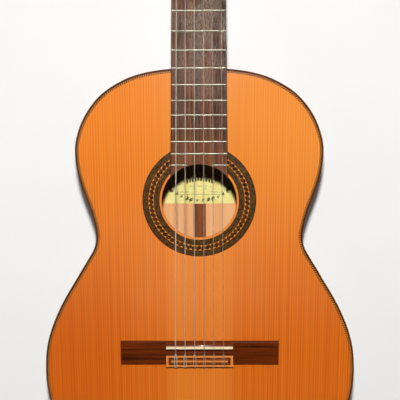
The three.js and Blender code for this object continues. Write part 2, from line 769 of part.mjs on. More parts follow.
// Eight points round one corner of a route, on the plane that halves the corner.
function ringAcross(route, k, radius) {
  const along = (a, b) => route[b].clone().sub(route[a]).normalize();
  const into = k > 0 ? along(k - 1, k) : along(0, 1);
  const out = k < route.length - 1 ? along(k, k + 1) : into;
  const middle = into.clone().add(out).normalize();
  const across = new THREE.Vector3(1, 0, 0);
  const up = new THREE.Vector3().crossVectors(across, middle).normalize();
  const stretch = 1 / middle.dot(into); // keeps the string round through a bend
  return circle(radius, 0, 0, 8).map(([u, v]) =>
    route[k].clone().addScaledVector(across, u).addScaledVector(up, v * stretch),
  );
}

// ---- Assembly ----------------------------------------------------------------------------------------------

add("soundboard", soundboard(), CEDAR);
add("rosette", ring(ROSETTE_INNER, ROSETTE_OUTER, -ROSETTE_DEPTH, 0, 64), MARQUETRY);
add("top_purfling", hoop(BINDING_WIDTH + GLUE, TOP_EDGE - GLUE, -PLATE, 0), MAPLE);
add("top_binding", hoop(0, BINDING_WIDTH, -BINDING_HEIGHT, 0), ROSEWOOD);
add("top_lining", lining(INSIDE_TOP - LINING_HEIGHT), SPRUCE);
add("fan_bracing", fanBracing(), SPRUCE);
add("upper_harmonic_bar", crossBrace(-92, 6, 15, -1), SPRUCE);
add("lower_harmonic_bar", crossBrace(-212, 6, 15, -1), SPRUCE);
add("bass_side", side(-1), ROSEWOOD);
add("treble_side", side(1), ROSEWOOD);
add("tail_block", tailBlock(), MAHOGANY);
add("back_plate", backPlate(), ROSEWOOD_INSIDE);
add("back_binding", hoop(0, BINDING_WIDTH, BACK_Z, BACK_Z + BINDING_HEIGHT), ROSEWOOD);
add("back_lining", lining(INSIDE_BACK), SPRUCE);
add("back_brace_1", crossBrace(-80, 8, 14, 1), SPRUCE);
add("back_brace_2", crossBrace(-245, 8, 14, 1), SPRUCE);
add("back_brace_3", crossBrace(-365, 8, 14, 1), SPRUCE);
add("back_centre_strip", backStrip(), MAHOGANY);
add("label", label(), PAPER);

add("neck", neck(), MAHOGANY);
add("heel_cap", heelCap(), ROSEWOOD);
add("fretboard", fretboard(), FINGERBOARD);
add("nut", nut(), BONE);
add("headstock", headstock(), MAHOGANY, head);
add("headstock_veneer", slab(headOutline(), GLUE, GLUE + VENEER, slots), ROSEWOOD, head);
tuners(1, [1, 2, 3]);
tuners(-1, [6, 5, 4]);

add("bridge", bridge(), ROSEWOOD);
add("tie_block_inlay", tieBlockInlay(), MAPLE);
add("saddle", saddle(), BONE);
STRING_RADII.forEach((_, k) => add("string_" + (k + 1), stringLine(k + 1), k < 3 ? NYLON : SILVER));

// The origin is under the middle of the whole.
const box = new THREE.Box3().setFromObject(root);
const middle = box.getCenter(new THREE.Vector3());
root.position.set(-middle.x, -middle.y, -box.min.z);

const group = new THREE.Group();
group.add(root);
export default group;
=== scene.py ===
"""The looks of a classical guitar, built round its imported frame.

The guitar lies on its back: +X is the treble side, +Y runs up the neck and +Z comes out of the soundboard.
Lengths below are in millimetres from the 12th fret, on the soundboard, unless a comment says otherwise.
"""

import json
import math

import bmesh
import bpy
from mathutils import Matrix, Vector
from mathutils.noise import noise as perlin

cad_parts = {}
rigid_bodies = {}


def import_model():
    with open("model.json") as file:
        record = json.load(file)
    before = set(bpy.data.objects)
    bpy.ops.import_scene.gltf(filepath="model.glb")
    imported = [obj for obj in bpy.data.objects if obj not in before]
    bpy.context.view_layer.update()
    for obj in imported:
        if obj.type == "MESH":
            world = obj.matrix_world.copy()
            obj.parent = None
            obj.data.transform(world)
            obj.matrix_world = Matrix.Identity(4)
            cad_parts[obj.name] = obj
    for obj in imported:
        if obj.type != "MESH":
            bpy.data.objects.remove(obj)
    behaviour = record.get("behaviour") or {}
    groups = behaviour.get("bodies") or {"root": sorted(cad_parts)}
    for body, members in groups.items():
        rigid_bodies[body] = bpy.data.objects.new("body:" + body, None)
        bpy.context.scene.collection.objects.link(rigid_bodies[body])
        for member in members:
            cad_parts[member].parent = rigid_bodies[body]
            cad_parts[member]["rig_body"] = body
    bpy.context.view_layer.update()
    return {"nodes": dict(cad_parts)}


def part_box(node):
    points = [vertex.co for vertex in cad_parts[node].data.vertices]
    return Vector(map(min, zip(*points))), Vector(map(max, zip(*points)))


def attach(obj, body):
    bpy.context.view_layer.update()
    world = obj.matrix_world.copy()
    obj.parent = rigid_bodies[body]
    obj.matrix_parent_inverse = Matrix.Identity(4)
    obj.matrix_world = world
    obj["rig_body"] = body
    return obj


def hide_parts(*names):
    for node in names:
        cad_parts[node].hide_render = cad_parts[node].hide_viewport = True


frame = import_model()

# ---- Sizes, as in the frame ----

MM = 0.001
SCALE = 650
NUT_Y = 325
NUT_WIDTH = 52
JOIN_WIDTH = 62
FRETS = 19
HOLE_Y = -150.8
HOLE_RADIUS = 43.5
ROSETTE = (46.1, 65.9)  # its inner and outer radius
ROSETTE_DEEP = 1.4
TOP_THICK = 2.5
BINDING_EDGE = 2.1  # how far in from the body's edge the binding ends
ROPE_EDGE = 4.4  # and the rope-patterned strip inside it
BINDING_DEEP = 6
SIDE_THICK = 2.3
SIDE_DEPTH = 96  # from the soundboard's face to the back's edge
BACK_THICK = 2.5
BACK_ARCH = 4
BOARD_TOP = 7  # top of the fretboard
SADDLE_Y = -326.5
SADDLE_TOP = 12
NUT_TOP = 8.6
BRIDGE_FRONT = -321
BRIDGE_BACK = -350.4
BRIDGE_HALF = 95
BRIDGE_TOP = 8.5
WING_TOP = 3.4
TIE_FRONT = -336.4
TIE_TOP = 9.5
TIE_HALF = 40
TIE_HOLE_Z = 4.8
STRING_RADII = [0.36, 0.41, 0.51, 0.38, 0.46, 0.56]  # first (treble) to sixth (bass)
SPREAD_AT_NUT = 43
SPREAD_AT_SADDLE = 57
HEAD_Y = 330.3
HEAD_TILT = math.radians(13)
HEAD_THICK = 17
HEAD_LENGTH = 184.8
HEAD_HALF = 36
SHOULDER = ((26, 0), (26, 12), (36, 8), (36, 26))  # how it widens from the nut, as a Bezier curve
SLOT_X = 15.6
SLOT_RADIUS = 8.4
SLOT_ENDS = (32.4, 145.6)  # the centres of a slot's round ends, along the headstock
ROLLER_SPOTS = [60, 95, 130]
ROLLER_Z = -8.5
ROLLER_RADIUS = 4.8
ROLLER_X = [19.5, 15, 12.2]  # where each of one side's strings meets its roller
WORM_OFFSET = 8.9
WORM_X = 39.3
WORM_PITCH = math.tau * 6.4 / 16  # the spacing of the gear's 16 teeth
PLATE_FACE = 37.5
BUTTON_TOP = -23

ORIGIN = Vector((0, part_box("nut")[0].y - NUT_Y * MM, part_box("soundboard")[1].z))


def at(x, y, z):
    """A point given in millimetres from the 12th fret."""
    return ORIGIN + Vector((x, y, z)) * MM


HEAD = Matrix.Translation(at(0, HEAD_Y, 0)) @ Matrix.Rotation(-HEAD_TILT, 4, "X")


def on_head(x, y, z):
    """A point given in millimetres in the headstock's frame, whose y runs along its face from the nut."""
    return HEAD @ (Vector((x, y, z)) * MM)


# ---- Materials ----


def rgb(red, green, blue):
    """A colour given as a screen shows it, 0 to 255, as a shader needs it."""
    parts = [v / 255 for v in (red, green, blue)]
    return (*[v / 12.92 if v <= 0.04045 else ((v + 0.055) / 1.055) ** 2.4 for v in parts], 1)


class Value:
    """What a material's nodes work out at each point. Arithmetic on it makes the nodes that do the sum."""

    def __init__(self, look, socket):
        self.look = look
        self.socket = socket

    def __add__(self, other):
        return self.look.calc("ADD", self, other)

    def __sub__(self, other):
        return self.look.calc("SUBTRACT", self, other)

    def __rsub__(self, other):
        return self.look.calc("SUBTRACT", other, self)

    def __mul__(self, other):
        return self.look.calc("MULTIPLY", self, other)

    def __truediv__(self, other):
        return self.look.calc("DIVIDE", self, other)

    def __abs__(self):
        return self.look.calc("ABSOLUTE", self)

    def __gt__(self, other):
        return self.look.calc("GREATER_THAN", self, other)

    def __lt__(self, other):
        return self.look.calc("LESS_THAN", self, other)


class Look:
    """A material whose nodes are made by short calls. Its coordinates are metres in the guitar's frame."""

    def __init__(self, name, slot, roughness=0.5, metallic=0, coat=0, coat_roughness=0.05, specular=0.5):
        self.slot = slot
        self.start = None
        self.material = bpy.data.materials.new(name)
        self.material.use_nodes = True
        self.tree = self.material.node_tree
        self.shader = self.tree.nodes["Principled BSDF"]
        self.set("Roughness", roughness)
        self.set("Metallic", metallic)
        self.set("Specular IOR Level", specular)
        self.set("Coat Weight", coat)
        self.set("Coat Roughness", coat_roughness)

    def set(self, name, value):
        """Gives the shader's own socket of that name a value."""
        self._put(self.shader.inputs[name], value)

    def _put(self, socket, value):
        if isinstance(value, Value):
            self.tree.links.new(value.socket, socket)
        else:
            socket.default_value = value

    def make(self, kind, inputs, output=0, **settings):
        """A new node's output. Inputs go in by their name or number."""
        node = self.tree.nodes.new(kind)
        for name, value in settings.items():
            setattr(node, name, value)
        for name, value in inputs.items():
            self._put(node.inputs[name], value)
        return Value(self, node.outputs[output])

    def place(self):
        """The point on the piece, in metres."""
        return self.make("ShaderNodeTexCoord", {}, "Object")

    def xyz(self, vector):
        """The three parts of a vector."""
        node = self.tree.nodes.new("ShaderNodeSeparateXYZ")
        self._put(node.inputs[0], vector)
        return [Value(self, part) for part in node.outputs]

    def vector(self, x, y, z=0.0):
        return self.make("ShaderNodeCombineXYZ", {0: x, 1: y, 2: z})

    def calc(self, operation, a, b=0.0, c=0.0):
        """One sum, by the name that the maths node has for it."""
        return self.make("ShaderNodeMath", {0: a, 1: b, 2: c}, operation=operation)

    def noise(self, vector, scale=1.0, detail=2.0, roughness=0.5):
        values = {"Vector": vector, "Scale": scale, "Detail": detail, "Roughness": roughness}
        return self.make("ShaderNodeTexNoise", values, "Fac")

    def stretched(self, x, y, z, detail=2.0, roughness=0.5):
        """Noise whose features are x, y and z millimetres long."""
        scale = (1000 / x, 1000 / y, 1000 / z)
        place = self.make("ShaderNodeMapping", {"Vector": self.start or self.place(), "Scale": scale})
        return self.noise(place, 1.0, detail, roughness)

    def upward(self):
        """How far the surface faces up, from -1 to 1."""
        return self.xyz(self.make("ShaderNodeNewGeometry", {}, "Normal"))[2]

    def along_strip(self):
        """From here on, x runs across a bent strip and y along it, in metres, as its own coordinates say."""
        along, across, _ = self.xyz(self.make("ShaderNodeUVMap", {}, uv_map="along"))
        self.start = self.vector(across, along)
        return along, across

    def ramp(self, value, stops):
        """A colour for each value; stops are (value, colour)."""
        node = self.tree.nodes.new("ShaderNodeValToRGB")
        self._put(node.inputs[0], value)
        band = node.color_ramp
        while len(band.elements) < len(stops):
            band.elements.new(1)
        for element, (position, colour) in zip(band.elements, stops):
            element.position = position
            element.color = colour
        return Value(self, node.outputs[0])

    def mix(self, share, a, b):
        """Colour a with so great a share of colour b in it."""
        node = self.tree.nodes.new("ShaderNodeMix")
        node.data_type = "RGBA"
        self._put(node.inputs[0], share)
        self._put(node.inputs[6], a)
        self._put(node.inputs[7], b)
        return Value(self, node.outputs[2])

    def span(self, value, low, high, to_low=0.0, to_high=1.0):
        """A value carried from one range to another, and held at its ends."""
        values = {"Value": value, 1: low, 2: high, 3: to_low, 4: to_high}
        return self.make("ShaderNodeMapRange", values)

    def bump(self, height, depth):
        """Raises the surface by up to depth millimetres where height is 1."""
        values = {"Height": height, "Distance": depth * MM, "Strength": 1.0}
        self.set("Normal", self.make("ShaderNodeBump", values))


def cedar():
    """Book-matched cedar under gloss lacquer: fine straight growth lines that mirror at the centre joint,
    with painted light and shade laid over them.
    """
    ring_spacing = 0.0029
    look = Look("cedar_lacquered", "cedar", 0.34, coat=0.45, coat_roughness=0.04, specular=0.06)
    x, y, _ = look.xyz(look.place())
    across = abs(x)
    wander = look.noise(look.vector(across * 30, y * 2.5))
    bent = across + wander * 0.0015

    def lines(per_metre, along, seed, detail):
        """Streaks that run with the grain, so many to a metre across it."""
        place = look.vector(bent * per_metre, y * along, seed)
        return look.noise(place, detail=detail)

    drift = lines(45, 0.6, 11.0, 1) * 9
    rings = look.calc("SINE", bent * (math.tau / ring_spacing) + drift)
    fine = lines(860, 1.0, 0.0, 1)
    wide = lines(150, 0.8, 3.0, 2)
    broad = lines(25, 1.5, 7.0, 1)
    # Painted shade: the soundboard's colours darken towards the tail, standing in for light that falls off
    # away from the lamp.
    down = look.span(y, ORIGIN.y - 0.06, ORIGIN.y - 0.29)
    pale = look.mix(down, rgb(246, 146, 54), rgb(226, 118, 34))
    deep = look.mix(down, rgb(227, 116, 32), rgb(200, 89, 16))
    grain = fine * 0.55 + wide * 0.05 + rings * 0.07
    colour = look.mix(look.span(grain, 0.12, 0.42), deep, pale)

    broad_band = look.span(broad, 0.3, 0.7, 0, 0.11)
    colour = look.mix(broad_band, colour, look.mix(down, rgb(226, 112, 28), rgb(196, 84, 10)))
    middle = look.span(across, 0.030, 0.048, 0.32, 0)
    colour = look.mix(middle, colour, look.mix(down, rgb(250, 158, 62), rgb(242, 150, 60)))
    dark_line = look.span(fine, 0.60, 0.74, 0, 0.14)
    colour = look.mix(dark_line, colour, look.mix(down, rgb(176, 78, 12), rgb(140, 52, 4)))
    # Painted light and shade: the right of the upper body is painted lighter and the lower left darker, as by
    # a lamp from the upper right.
    painted_light_side = look.span(x, -0.08, 0.12, 0, 0.12) * look.span(down, 0.2, 0.7, 1, 0)
    colour = look.mix(painted_light_side, colour, rgb(255, 206, 112))
    painted_shade_side = look.span(x, -0.07, -0.12, 0, 0.2) * look.span(down, 0.5, 0.9)
    colour = look.mix(painted_shade_side, colour, rgb(182, 61, 2))
    # Painted reflection: a pale patch across the body about 225 mm below the 12th fret, as a lamp mirrored in
    # the lacquer.
    from_painted_reflection = abs(y - (ORIGIN.y - 0.225))
    painted_reflection = look.span(from_painted_reflection, 0.04, 0.11, 0.085, 0) * look.span(across, 0.06, 0.10, 1, 0.5)
    colour = look.mix(painted_reflection, colour, rgb(250, 188, 136))
    seam = look.span(across, 0.0, 0.0004, 0.35, 0.0)
    colour = look.mix(seam, colour, rgb(150, 66, 18))
    # Painted shade: the soundboard's underside is made far darker than bare cedar, to deepen the shade inside
    # the body.
    underside_painted_shade = look.span(look.upward(), -0.2, -0.9)
    look.set("Base Color", look.mix(underside_painted_shade, colour, rgb(58, 33, 17)))
    look.set("Roughness", look.span(fine, 0.3, 0.7, 0.38, 0.26))
    look.bump(grain, 0.02)
    return look


def plain_wood(
    name, slot, dark, light, along="y", roughness=0.4, coat=0.0, streaks=None, size=1.0, specular=0.3
):
    """Wood with its grain along x, y, z or a bent strip: broad bands, streaks and short dark pores."""
    look = Look(name, slot, roughness, coat=coat, specular=specular)
    if along == "strip":
        look.along_strip()
        along = "y"
    turn = {"x": (70, 1, 1), "y": (1, 70, 1), "z": (1, 1, 70)}[along]
    bands = look.stretched(*[9 * size * v for v in turn], detail=4, roughness=0.65)
    lines = look.stretched(*[1.1 * size * v for v in turn], detail=3, roughness=0.6)
    pores = look.stretched(*[0.35 * size * (v ** 0.6) for v in turn], detail=1)
    tone = bands * 0.6 + lines * 0.4
    colour = look.mix(look.span(tone, 0.36, 0.64), dark, light)
    if streaks:
        colour = look.mix(look.span(bands, 0.52, 0.66, 0, 0.75), colour, streaks)
    pore = look.span(pores, 0.60, 0.70)
    pore_colour = (*[0.35 * v for v in dark[:3]], 1)
    look.set("Base Color", look.mix(pore * 0.45, colour, pore_colour))
    look.set("Roughness", look.span(lines, 0.3, 0.7, roughness * 1.25, roughness * 0.8))
    look.bump(lines - pore, 0.03)
    return look


def two_faced_back():
    """The back's wood: lacquered and dark outside, bare and pale inside."""
    look = Look("back_wood", "back_wood", 0.35)
    bands = look.stretched(11, 700, 900, detail=4, roughness=0.6)
    lines = look.stretched(1.6, 160, 160, detail=3, roughness=0.6)
    tone = bands * 0.6 + lines * 0.4
    inside = look.mix(look.span(tone, 0.38, 0.62), rgb(238, 162, 102), rgb(250, 188, 130))
    outside = look.mix(look.span(tone, 0.38, 0.62), rgb(58, 26, 14), rgb(116, 58, 32))
    face = look.span(look.upward(), -0.05, 0.05)
    look.set("Base Color", look.mix(face, outside, inside))
    look.set("Roughness", look.span(face, 0, 1, 0.22, 0.7))
    look.bump(lines, 0.03)
    return look


def fingerboard_wood():
    """Dark rosewood, rubbed grey where the fingers play, with painted shade along its two edges."""
    look = Look("fingerboard_wood", "fingerboard", 0.55, specular=0.1)
    bands = look.stretched(4, 420, 300, detail=3, roughness=0.6)
    lines = look.stretched(0.8, 40, 30, detail=4, roughness=0.75)
    flecks = look.stretched(0.5, 4, 4, detail=3, roughness=0.8)
    tone = bands * 0.35 + lines * 0.65
    browns = [(0.40, rgb(26, 12, 7)), (0.48, rgb(76, 42, 26)), (0.56, rgb(124, 74, 44))]
    browns.append((0.68, rgb(166, 108, 66)))
    colour = look.ramp(tone, browns)
    x, y, _ = look.xyz(look.place())
    redder = look.span(y, ORIGIN.y - 0.06, ORIGIN.y - 0.10, 0, 0.16)
    colour = look.mix(redder, colour, rgb(190, 118, 72))
    patches = look.span(look.stretched(14, 30, 30, detail=3), 0.38, 0.56)
    up_neck = look.span(y, ORIGIN.y - 0.09, ORIGIN.y + 0.06)
    side = look.span(x, -0.022, 0.004, 0.45, 1.0)
    worn = up_neck * side * patches
    greys = [(0.38, rgb(40, 30, 25)), (0.52, rgb(124, 106, 92)), (0.68, rgb(202, 184, 166))]
    rubbed = look.ramp(flecks, greys)
    colour = look.mix(worn * 0.72, colour, rubbed)
    colour = look.mix(look.span(flecks, 0.40, 0.30, 0, 0.6), colour, rgb(20, 11, 9))
    # Painted shade: a dark line along both edges of the board.
    narrowing = (y - ORIGIN.y) / 65  # half the board's width shrinks by 1 in 65 up the neck
    edge = look.span(abs(x) + narrowing, 0.0299, 0.0306, 0, 0.85)
    colour = look.mix(edge, colour, rgb(34, 18, 14))
    look.set("Base Color", colour)
    look.set("Roughness", look.span(lines, 0.3, 0.7, 0.55, 0.36))
    look.bump(lines, 0.03)
    return look


def marquetry():
    """The soundhole's inlay: two bands of fine dyed veneers, and between them a chain of dark links."""
    look = Look("rosette_marquetry", "marquetry", 0.4, coat=0.15, coat_roughness=0.04, specular=0.1)
    x, y, _ = look.xyz(look.place())
    dx = x * 1000
    dy = (y - (ORIGIN.y + HOLE_Y * MM)) * 1000
    radius = look.calc("SQRT", dx * dx + dy * dy)
    turn = look.calc("ARCTAN2", dy, dx)

    def stripes(count, slant):
        """Fine slanted stripes round the ring."""
        return look.calc("SINE", turn * count + radius * slant)

    weave = stripes(150, 2.6) * stripes(150, -2.6)
    mottle = look.stretched(2.2, 2.2, 8, detail=3, roughness=0.7)
    fine = look.span(weave, -1, 1, 0, 0.45) + mottle * 0.8
    band = look.ramp(fine, [(0.42, rgb(24, 10, 4)), (0.60, rgb(58, 34, 13)), (0.86, rgb(128, 94, 46))])

    links = 65  # each hump of the sine's size is one link
    chain_radius = 55.85
    chain_half = 2.75
    leaning = turn * (links / 2) + radius * 0.22
    along = abs(look.calc("SINE", leaning))
    away = abs(radius - chain_radius) / chain_half
    notch = away - along * 0.62
    gold = look.mix(mottle, rgb(218, 134, 40), rgb(250, 184, 80))
    heart = look.mix(look.span(mottle, 0.42, 0.62), rgb(26, 10, 4), rgb(104, 56, 20))
    heart = look.mix(look.span(along, 0.05, 0.42, 0.6, 0), heart, rgb(142, 80, 28))
    chain = look.mix(look.span(notch, 0.40, 0.52), heart, gold)

    def zone(low, high, inside, outside):
        """One colour between two radii and another beyond them."""
        above = radius > low
        below = radius < high
        return look.mix(above * below, outside, inside)

    colour = zone(53.1, 58.6, chain, band)
    for low, high, tone in (
        (0, 46.9, rgb(30, 14, 6)),
        (52.2, 52.7, rgb(24, 12, 6)),
        (52.7, 53.2, rgb(188, 110, 32)),
        (58.5, 59.0, rgb(188, 110, 32)),
        (59.0, 59.5, rgb(24, 12, 6)),
        (65.2, 99, rgb(30, 14, 6)),
    ):
        colour = zone(low, high, tone, colour)
    look.set("Base Color", colour)
    look.bump(fine, 0.02)
    return look


def rope_purfling():
    """Slanted light and dark veneers between two dark lines."""
    pair_width = 2.7 * MM
    middle = 1.15 * MM
    look = Look("rope_purfling", "maple", 0.35, coat=0.2, specular=0.1)
    along, across = look.along_strip()
    lean = along + across * 0.9
    stripe = look.calc("SINE", lean * (math.tau / pair_width))
    tan = look.mix(look.stretched(2, 9, 9), rgb(206, 128, 56), rgb(232, 154, 80))
    colour = look.mix(look.span(stripe, -0.05, 0.35), rgb(58, 26, 8), tan)
    rim = abs(across - middle)
    look.set("Base Color", look.mix(look.span(rim, 0.85 * MM, 0.95 * MM), colour, rgb(58, 26, 8)))
    look.bump(stripe, 0.01)
    return look


def bone(name, slot, light, dark, roughness=0.3):
    """Polished bone: faint streaks and a soft glow."""
    look = Look(name, slot, roughness, coat=0.2)
    tone = look.stretched(8, 1.2, 1.2, detail=3)
    look.set("Base Color", look.mix(look.span(tone, 0.35, 0.65), dark, light))
    look.set("Subsurface Weight", 0.15)
    look.set("Subsurface Radius", (0.002, 0.0015, 0.001))
    look.bump(tone, 0.01)
    return look


def metal(name, slot, bright, dull, roughness=0.25, scratch=(0.3, 6, 6)):
    """Polished metal with fine scratches and a little tarnish."""
    look = Look(name, slot, roughness, metallic=1)
    tarnish = look.stretched(9, 9, 9, detail=3, roughness=0.6)
    scratches = look.stretched(*scratch, detail=2)
    look.set("Base Color", look.mix(look.span(tarnish, 0.4, 0.7), bright, dull))
    look.set("Roughness", look.span(scratches, 0.3, 0.7, roughness * 0.75, roughness * 1.4))
    look.bump(scratches, 0.006)
    return look


def wound_wire():
    """Silvered copper wire wound closely round the bass strings."""
    wire_width = 0.00028
    look = Look("wound_wire", "silvered_wire", 0.34, metallic=0.45)
    _, y, _ = look.xyz(look.place())
    coils = look.calc("SINE", y * (math.tau / wire_width))
    tarnish = look.span(look.stretched(6, 60, 6, detail=2), 0.4, 0.7, 0, 0.5)
    look.set("Base Color", look.mix(tarnish, rgb(202, 196, 177), rgb(164, 154, 134)))
    look.bump(coils, 0.03)
    return look


def clear_nylon():
    """Smooth clear nylon, which lets what lies behind it show."""
    look = Look("clear_nylon", "nylon", 0.2)
    cloud = look.stretched(3, 12, 3, detail=2)
    look.set("Base Color", look.mix(cloud, rgb(170, 146, 126), rgb(196, 178, 160)))
    look.set("Alpha", 0.36)
    look.set("IOR", 1.53)
    look.set("Roughness", look.span(cloud, 0.3, 0.7, 0.15, 0.25))
    return look


def pearloid():
    """Swirled pearly plastic."""
    look = Look("pearloid", "pearloid", 0.22, coat=0.5)
    place = look.place()
    swirl = look.noise(place, 260, 3, 0.6)
    moved = look.make("ShaderNodeVectorMath", {0: place, 1: look.vector(swirl, swirl, swirl)})
    folded = look.noise(moved, 140, 2)
    tones = [(0.3, rgb(206, 196, 176)), (0.5, rgb(240, 232, 216)), (0.7, rgb(224, 222, 214))]
    look.set("Base Color", look.ramp(folded, tones))
    look.bump(swirl, 0.01)
    return look


def label_paper():
    """Cream paper with an arc of lozenges, a crest of bars, a thin rule and wavy flourishes: no writing."""
    look = Look("label_paper", "paper", 0.75)
    x, y, _ = look.xyz(look.place())
    u = x * 1000
    v = (y - (ORIGIN.y - 0.170)) * 1000  # up from the lower edge
    off = abs(u)
    square = u * u

    def all_of(*masks):
        made = masks[0]
        for mask in masks[1:]:
            made = made * mask
        return made

    def within(value, low, high):
        return all_of(value > low, value < high)

    # Ornaments on an arc that hangs from a centre above the label: leaning lozenges, broken up, some large.
    arc_radius = 58
    rise = 62 - v
    reach = look.calc("SQRT", square + rise * rise)
    swing = look.calc("ARCTAN2", u, rise) * arc_radius
    out = reach - arc_radius
    leaning = swing + out * 0.4
    cell = abs(look.calc("PINGPONG", leaning, 7.2) - 3.6)
    lozenge = cell + abs(out) * 0.8
    turn = abs(swing) * (math.tau / 27)
    size = look.span(look.calc("SINE", turn - 1.92), 0.3, 0.8, 2.0, 3.6)
    broken = look.stretched(1.0, 2.0, 9, detail=1) > 0.44
    arc = all_of(lozenge < size, broken, off < 40)
    # A crest of upright bars.
    bars = look.calc("PINGPONG", u + 200, 1.8) < 1.0
    top = v - (32.5 - square * 0.012)
    crest = all_of(bars, within(top, -2.8, 2.8), off < 19)
    marks = [arc, crest, all_of(within(v, 11.8, 12.2), off < 33)]
    # Flourishes: broken wavy strokes.
    for height, near, far in ((15.2, 14, 31), (23.0, 0, 15), (19.5, 3, 10)):
        wave = look.calc("SINE", u * 2.1) * 0.45
        line = look.calc("COMPARE", v, wave + height, 0.24)
        gaps = look.stretched(2.5, 9, 9) > 0.47
        marks.append(all_of(line, within(off, near, far), gaps))
    ink = marks[0]
    for mark in marks[1:]:
        ink = look.calc("MAXIMUM", ink, mark)
    fibres = look.stretched(1.2, 1.2, 1.2, detail=3)
    stain = look.stretched(26, 26, 26, detail=2)
    paper = look.mix(look.span(stain, 0.35, 0.65), rgb(255, 246, 160), rgb(250, 234, 140))
    paper = look.mix(look.span(fibres, 0.4, 0.6, 0, 0.2), paper, rgb(206, 184, 104))
    look.set("Base Color", look.mix(ink * 0.95, paper, rgb(24, 18, 12)))
    look.bump(fibres, 0.02)
    return look


def sheet_floor():
    """The pale sheet that the guitar lies on, which fades into the studio's pale wall far from it."""
    look = Look("pale_sheet", None, 0.9)
    far = look.make("ShaderNodeVectorMath", {0: look.place()}, "Value", operation="LENGTH")
    look.set("Alpha", look.span(far, 0.9, 2.4, 1, 0))
    cloud = look.stretched(60, 60, 60, detail=4)
    look.set("Base Color", look.mix(cloud, (0.9, 0.9, 0.895, 1), (0.93, 0.93, 0.925, 1)))
    return look


CEDAR = cedar()
# Rosewood by where it is: dark and light tone, grain, roughness, coat, streaks, size of figure, specular.
ROSEWOOD, BINDING, ROSEWOOD_BENT, ROSEWOOD_ACROSS = (
    plain_wood("rosewood_" + name, "rosewood", *values)
    for name, *values in (
        ("lacquered", rgb(58, 20, 4), rgb(108, 48, 14), "y", 0.3, 0.5, rgb(38, 13, 4), 1.0, 0.06),
        ("binding", rgb(60, 24, 5), rgb(114, 55, 15), "strip", 0.35, 0.12, rgb(42, 16, 3), 1.0, 0.03),
        ("bent", rgb(58, 22, 9), rgb(120, 58, 27), "strip", 0.28, 0.7, rgb(34, 12, 5), 1.3, 0.3),
        ("oiled", rgb(16, 5, 2), rgb(138, 58, 14), "x", 0.36, 0.28, rgb(14, 4, 1), 0.6, 0.08),
    )
)
MAHOGANY = plain_wood("mahogany", "mahogany", rgb(96, 50, 28), rgb(150, 86, 52), "y", 0.42, 0.3)
STRIP_WOOD = plain_wood("strip_wood", "mahogany", rgb(112, 53, 14), rgb(160, 84, 30), "y", 0.6)
SPRUCE = plain_wood("spruce_bare", "spruce", rgb(150, 108, 66), rgb(180, 138, 92), "x", 0.7, size=1.4)
LINING = plain_wood("lining_wood", "spruce", rgb(140, 100, 60), rgb(170, 128, 84), "z", 0.7, size=1.4)
INLAY = plain_wood("inlay_wood", "maple", rgb(210, 116, 40), rgb(240, 152, 68), "x", 0.34, 0.15, size=0.8)
PANEL = plain_wood("panel_wood", "maple", rgb(92, 38, 12), rgb(142, 70, 28), "x", 0.4, 0.2, size=0.8)
BACK = two_faced_back()
FINGERBOARD = fingerboard_wood()
MARQUETRY = marquetry()
PURFLING = rope_purfling()
SADDLE_BONE = bone("saddle_bone", "bone", rgb(244, 232, 196), rgb(226, 208, 164))
ROLLER_BONE = bone("roller_bone", "bone", rgb(240, 234, 218), rgb(220, 208, 184))
FRET_METAL = metal("fret_metal", "fingerboard", rgb(176, 173, 154), rgb(138, 135, 116), 0.38, (0.3, 0.3, 3))
BRASS = metal("plate_brass", "brass", rgb(226, 186, 104), rgb(186, 140, 72))
STEEL = metal("screw_steel", "steel", rgb(214, 212, 208), rgb(170, 166, 160))
WIRE = wound_wire()
NYLON = clear_nylon()
PEARL = pearloid()
PAPER = label_paper()
FLOOR = sheet_floor()

# ---- Mesh work ----


def add_object(name, data):
    """A new object in the scene."""
    made = bpy.data.objects.new(name, data)
    bpy.context.scene.collection.objects.link(made)
    return made


def mesh_from(name, bm):
    """The finished mesh of a shape under work."""
    mesh = bpy.data.meshes.new(name)
    bm.to_mesh(mesh)
    bm.free()
    return mesh


def shade_flat_faces_flat(made):
    """Keeps the smooth shading of small rounded edges from spreading over the flat faces beside them."""
    flat = made.modifiers.new("flat_faces_look_flat", "WEIGHTED_NORMAL")
    flat.keep_sharp = True


def piece(name, bm, look, body="guitar", stands_for=(), crease=35):
    """Finishes a mesh: shades it smooth but for its creases, paints it and puts it on a body."""
    bmesh.ops.recalc_face_normals(bm, faces=bm.faces)
    for face in bm.faces:
        face.smooth = True
    for edge in bm.edges:
        edge.smooth = len(edge.link_faces) == 2 and edge.calc_face_angle(0) < math.radians(crease)
    mesh = mesh_from(name, bm)
    mesh.materials.append(look.material)
    made = add_object(name, mesh)
    shade_flat_faces_flat(made)
    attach(made, body)
    if stands_for:
        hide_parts(*stands_for)
    return made


def paint(look, *nodes):
    """Gives CAD nodes that keep their own shape their material."""
    for node in nodes:
        mesh = frame["nodes"][node].data
        mesh.materials.clear()
        mesh.materials.append(look.material)


def cad_shape(node):
    """A CAD node's shape as one welded mesh, with flat faces whole."""
    bm = bmesh.new()
    bm.from_mesh(frame["nodes"][node].data)
    bmesh.ops.remove_doubles(bm, verts=bm.verts, dist=1e-6)
    bmesh.ops.dissolve_limit(bm, angle_limit=math.radians(0.5), verts=bm.verts, edges=bm.edges)
    return bm


def round_edges(bm, radius, crease=40, segments=3):
    """Rounds over the edges at which two faces meet sharply."""
    sharp = [e for e in bm.edges if len(e.link_faces) == 2 and e.calc_face_angle(0) > math.radians(crease)]
    bmesh.ops.bevel(
        bm, geom=sharp, offset=radius * MM, segments=segments, profile=0.5, affect="EDGES", clamp_overlap=True
    )


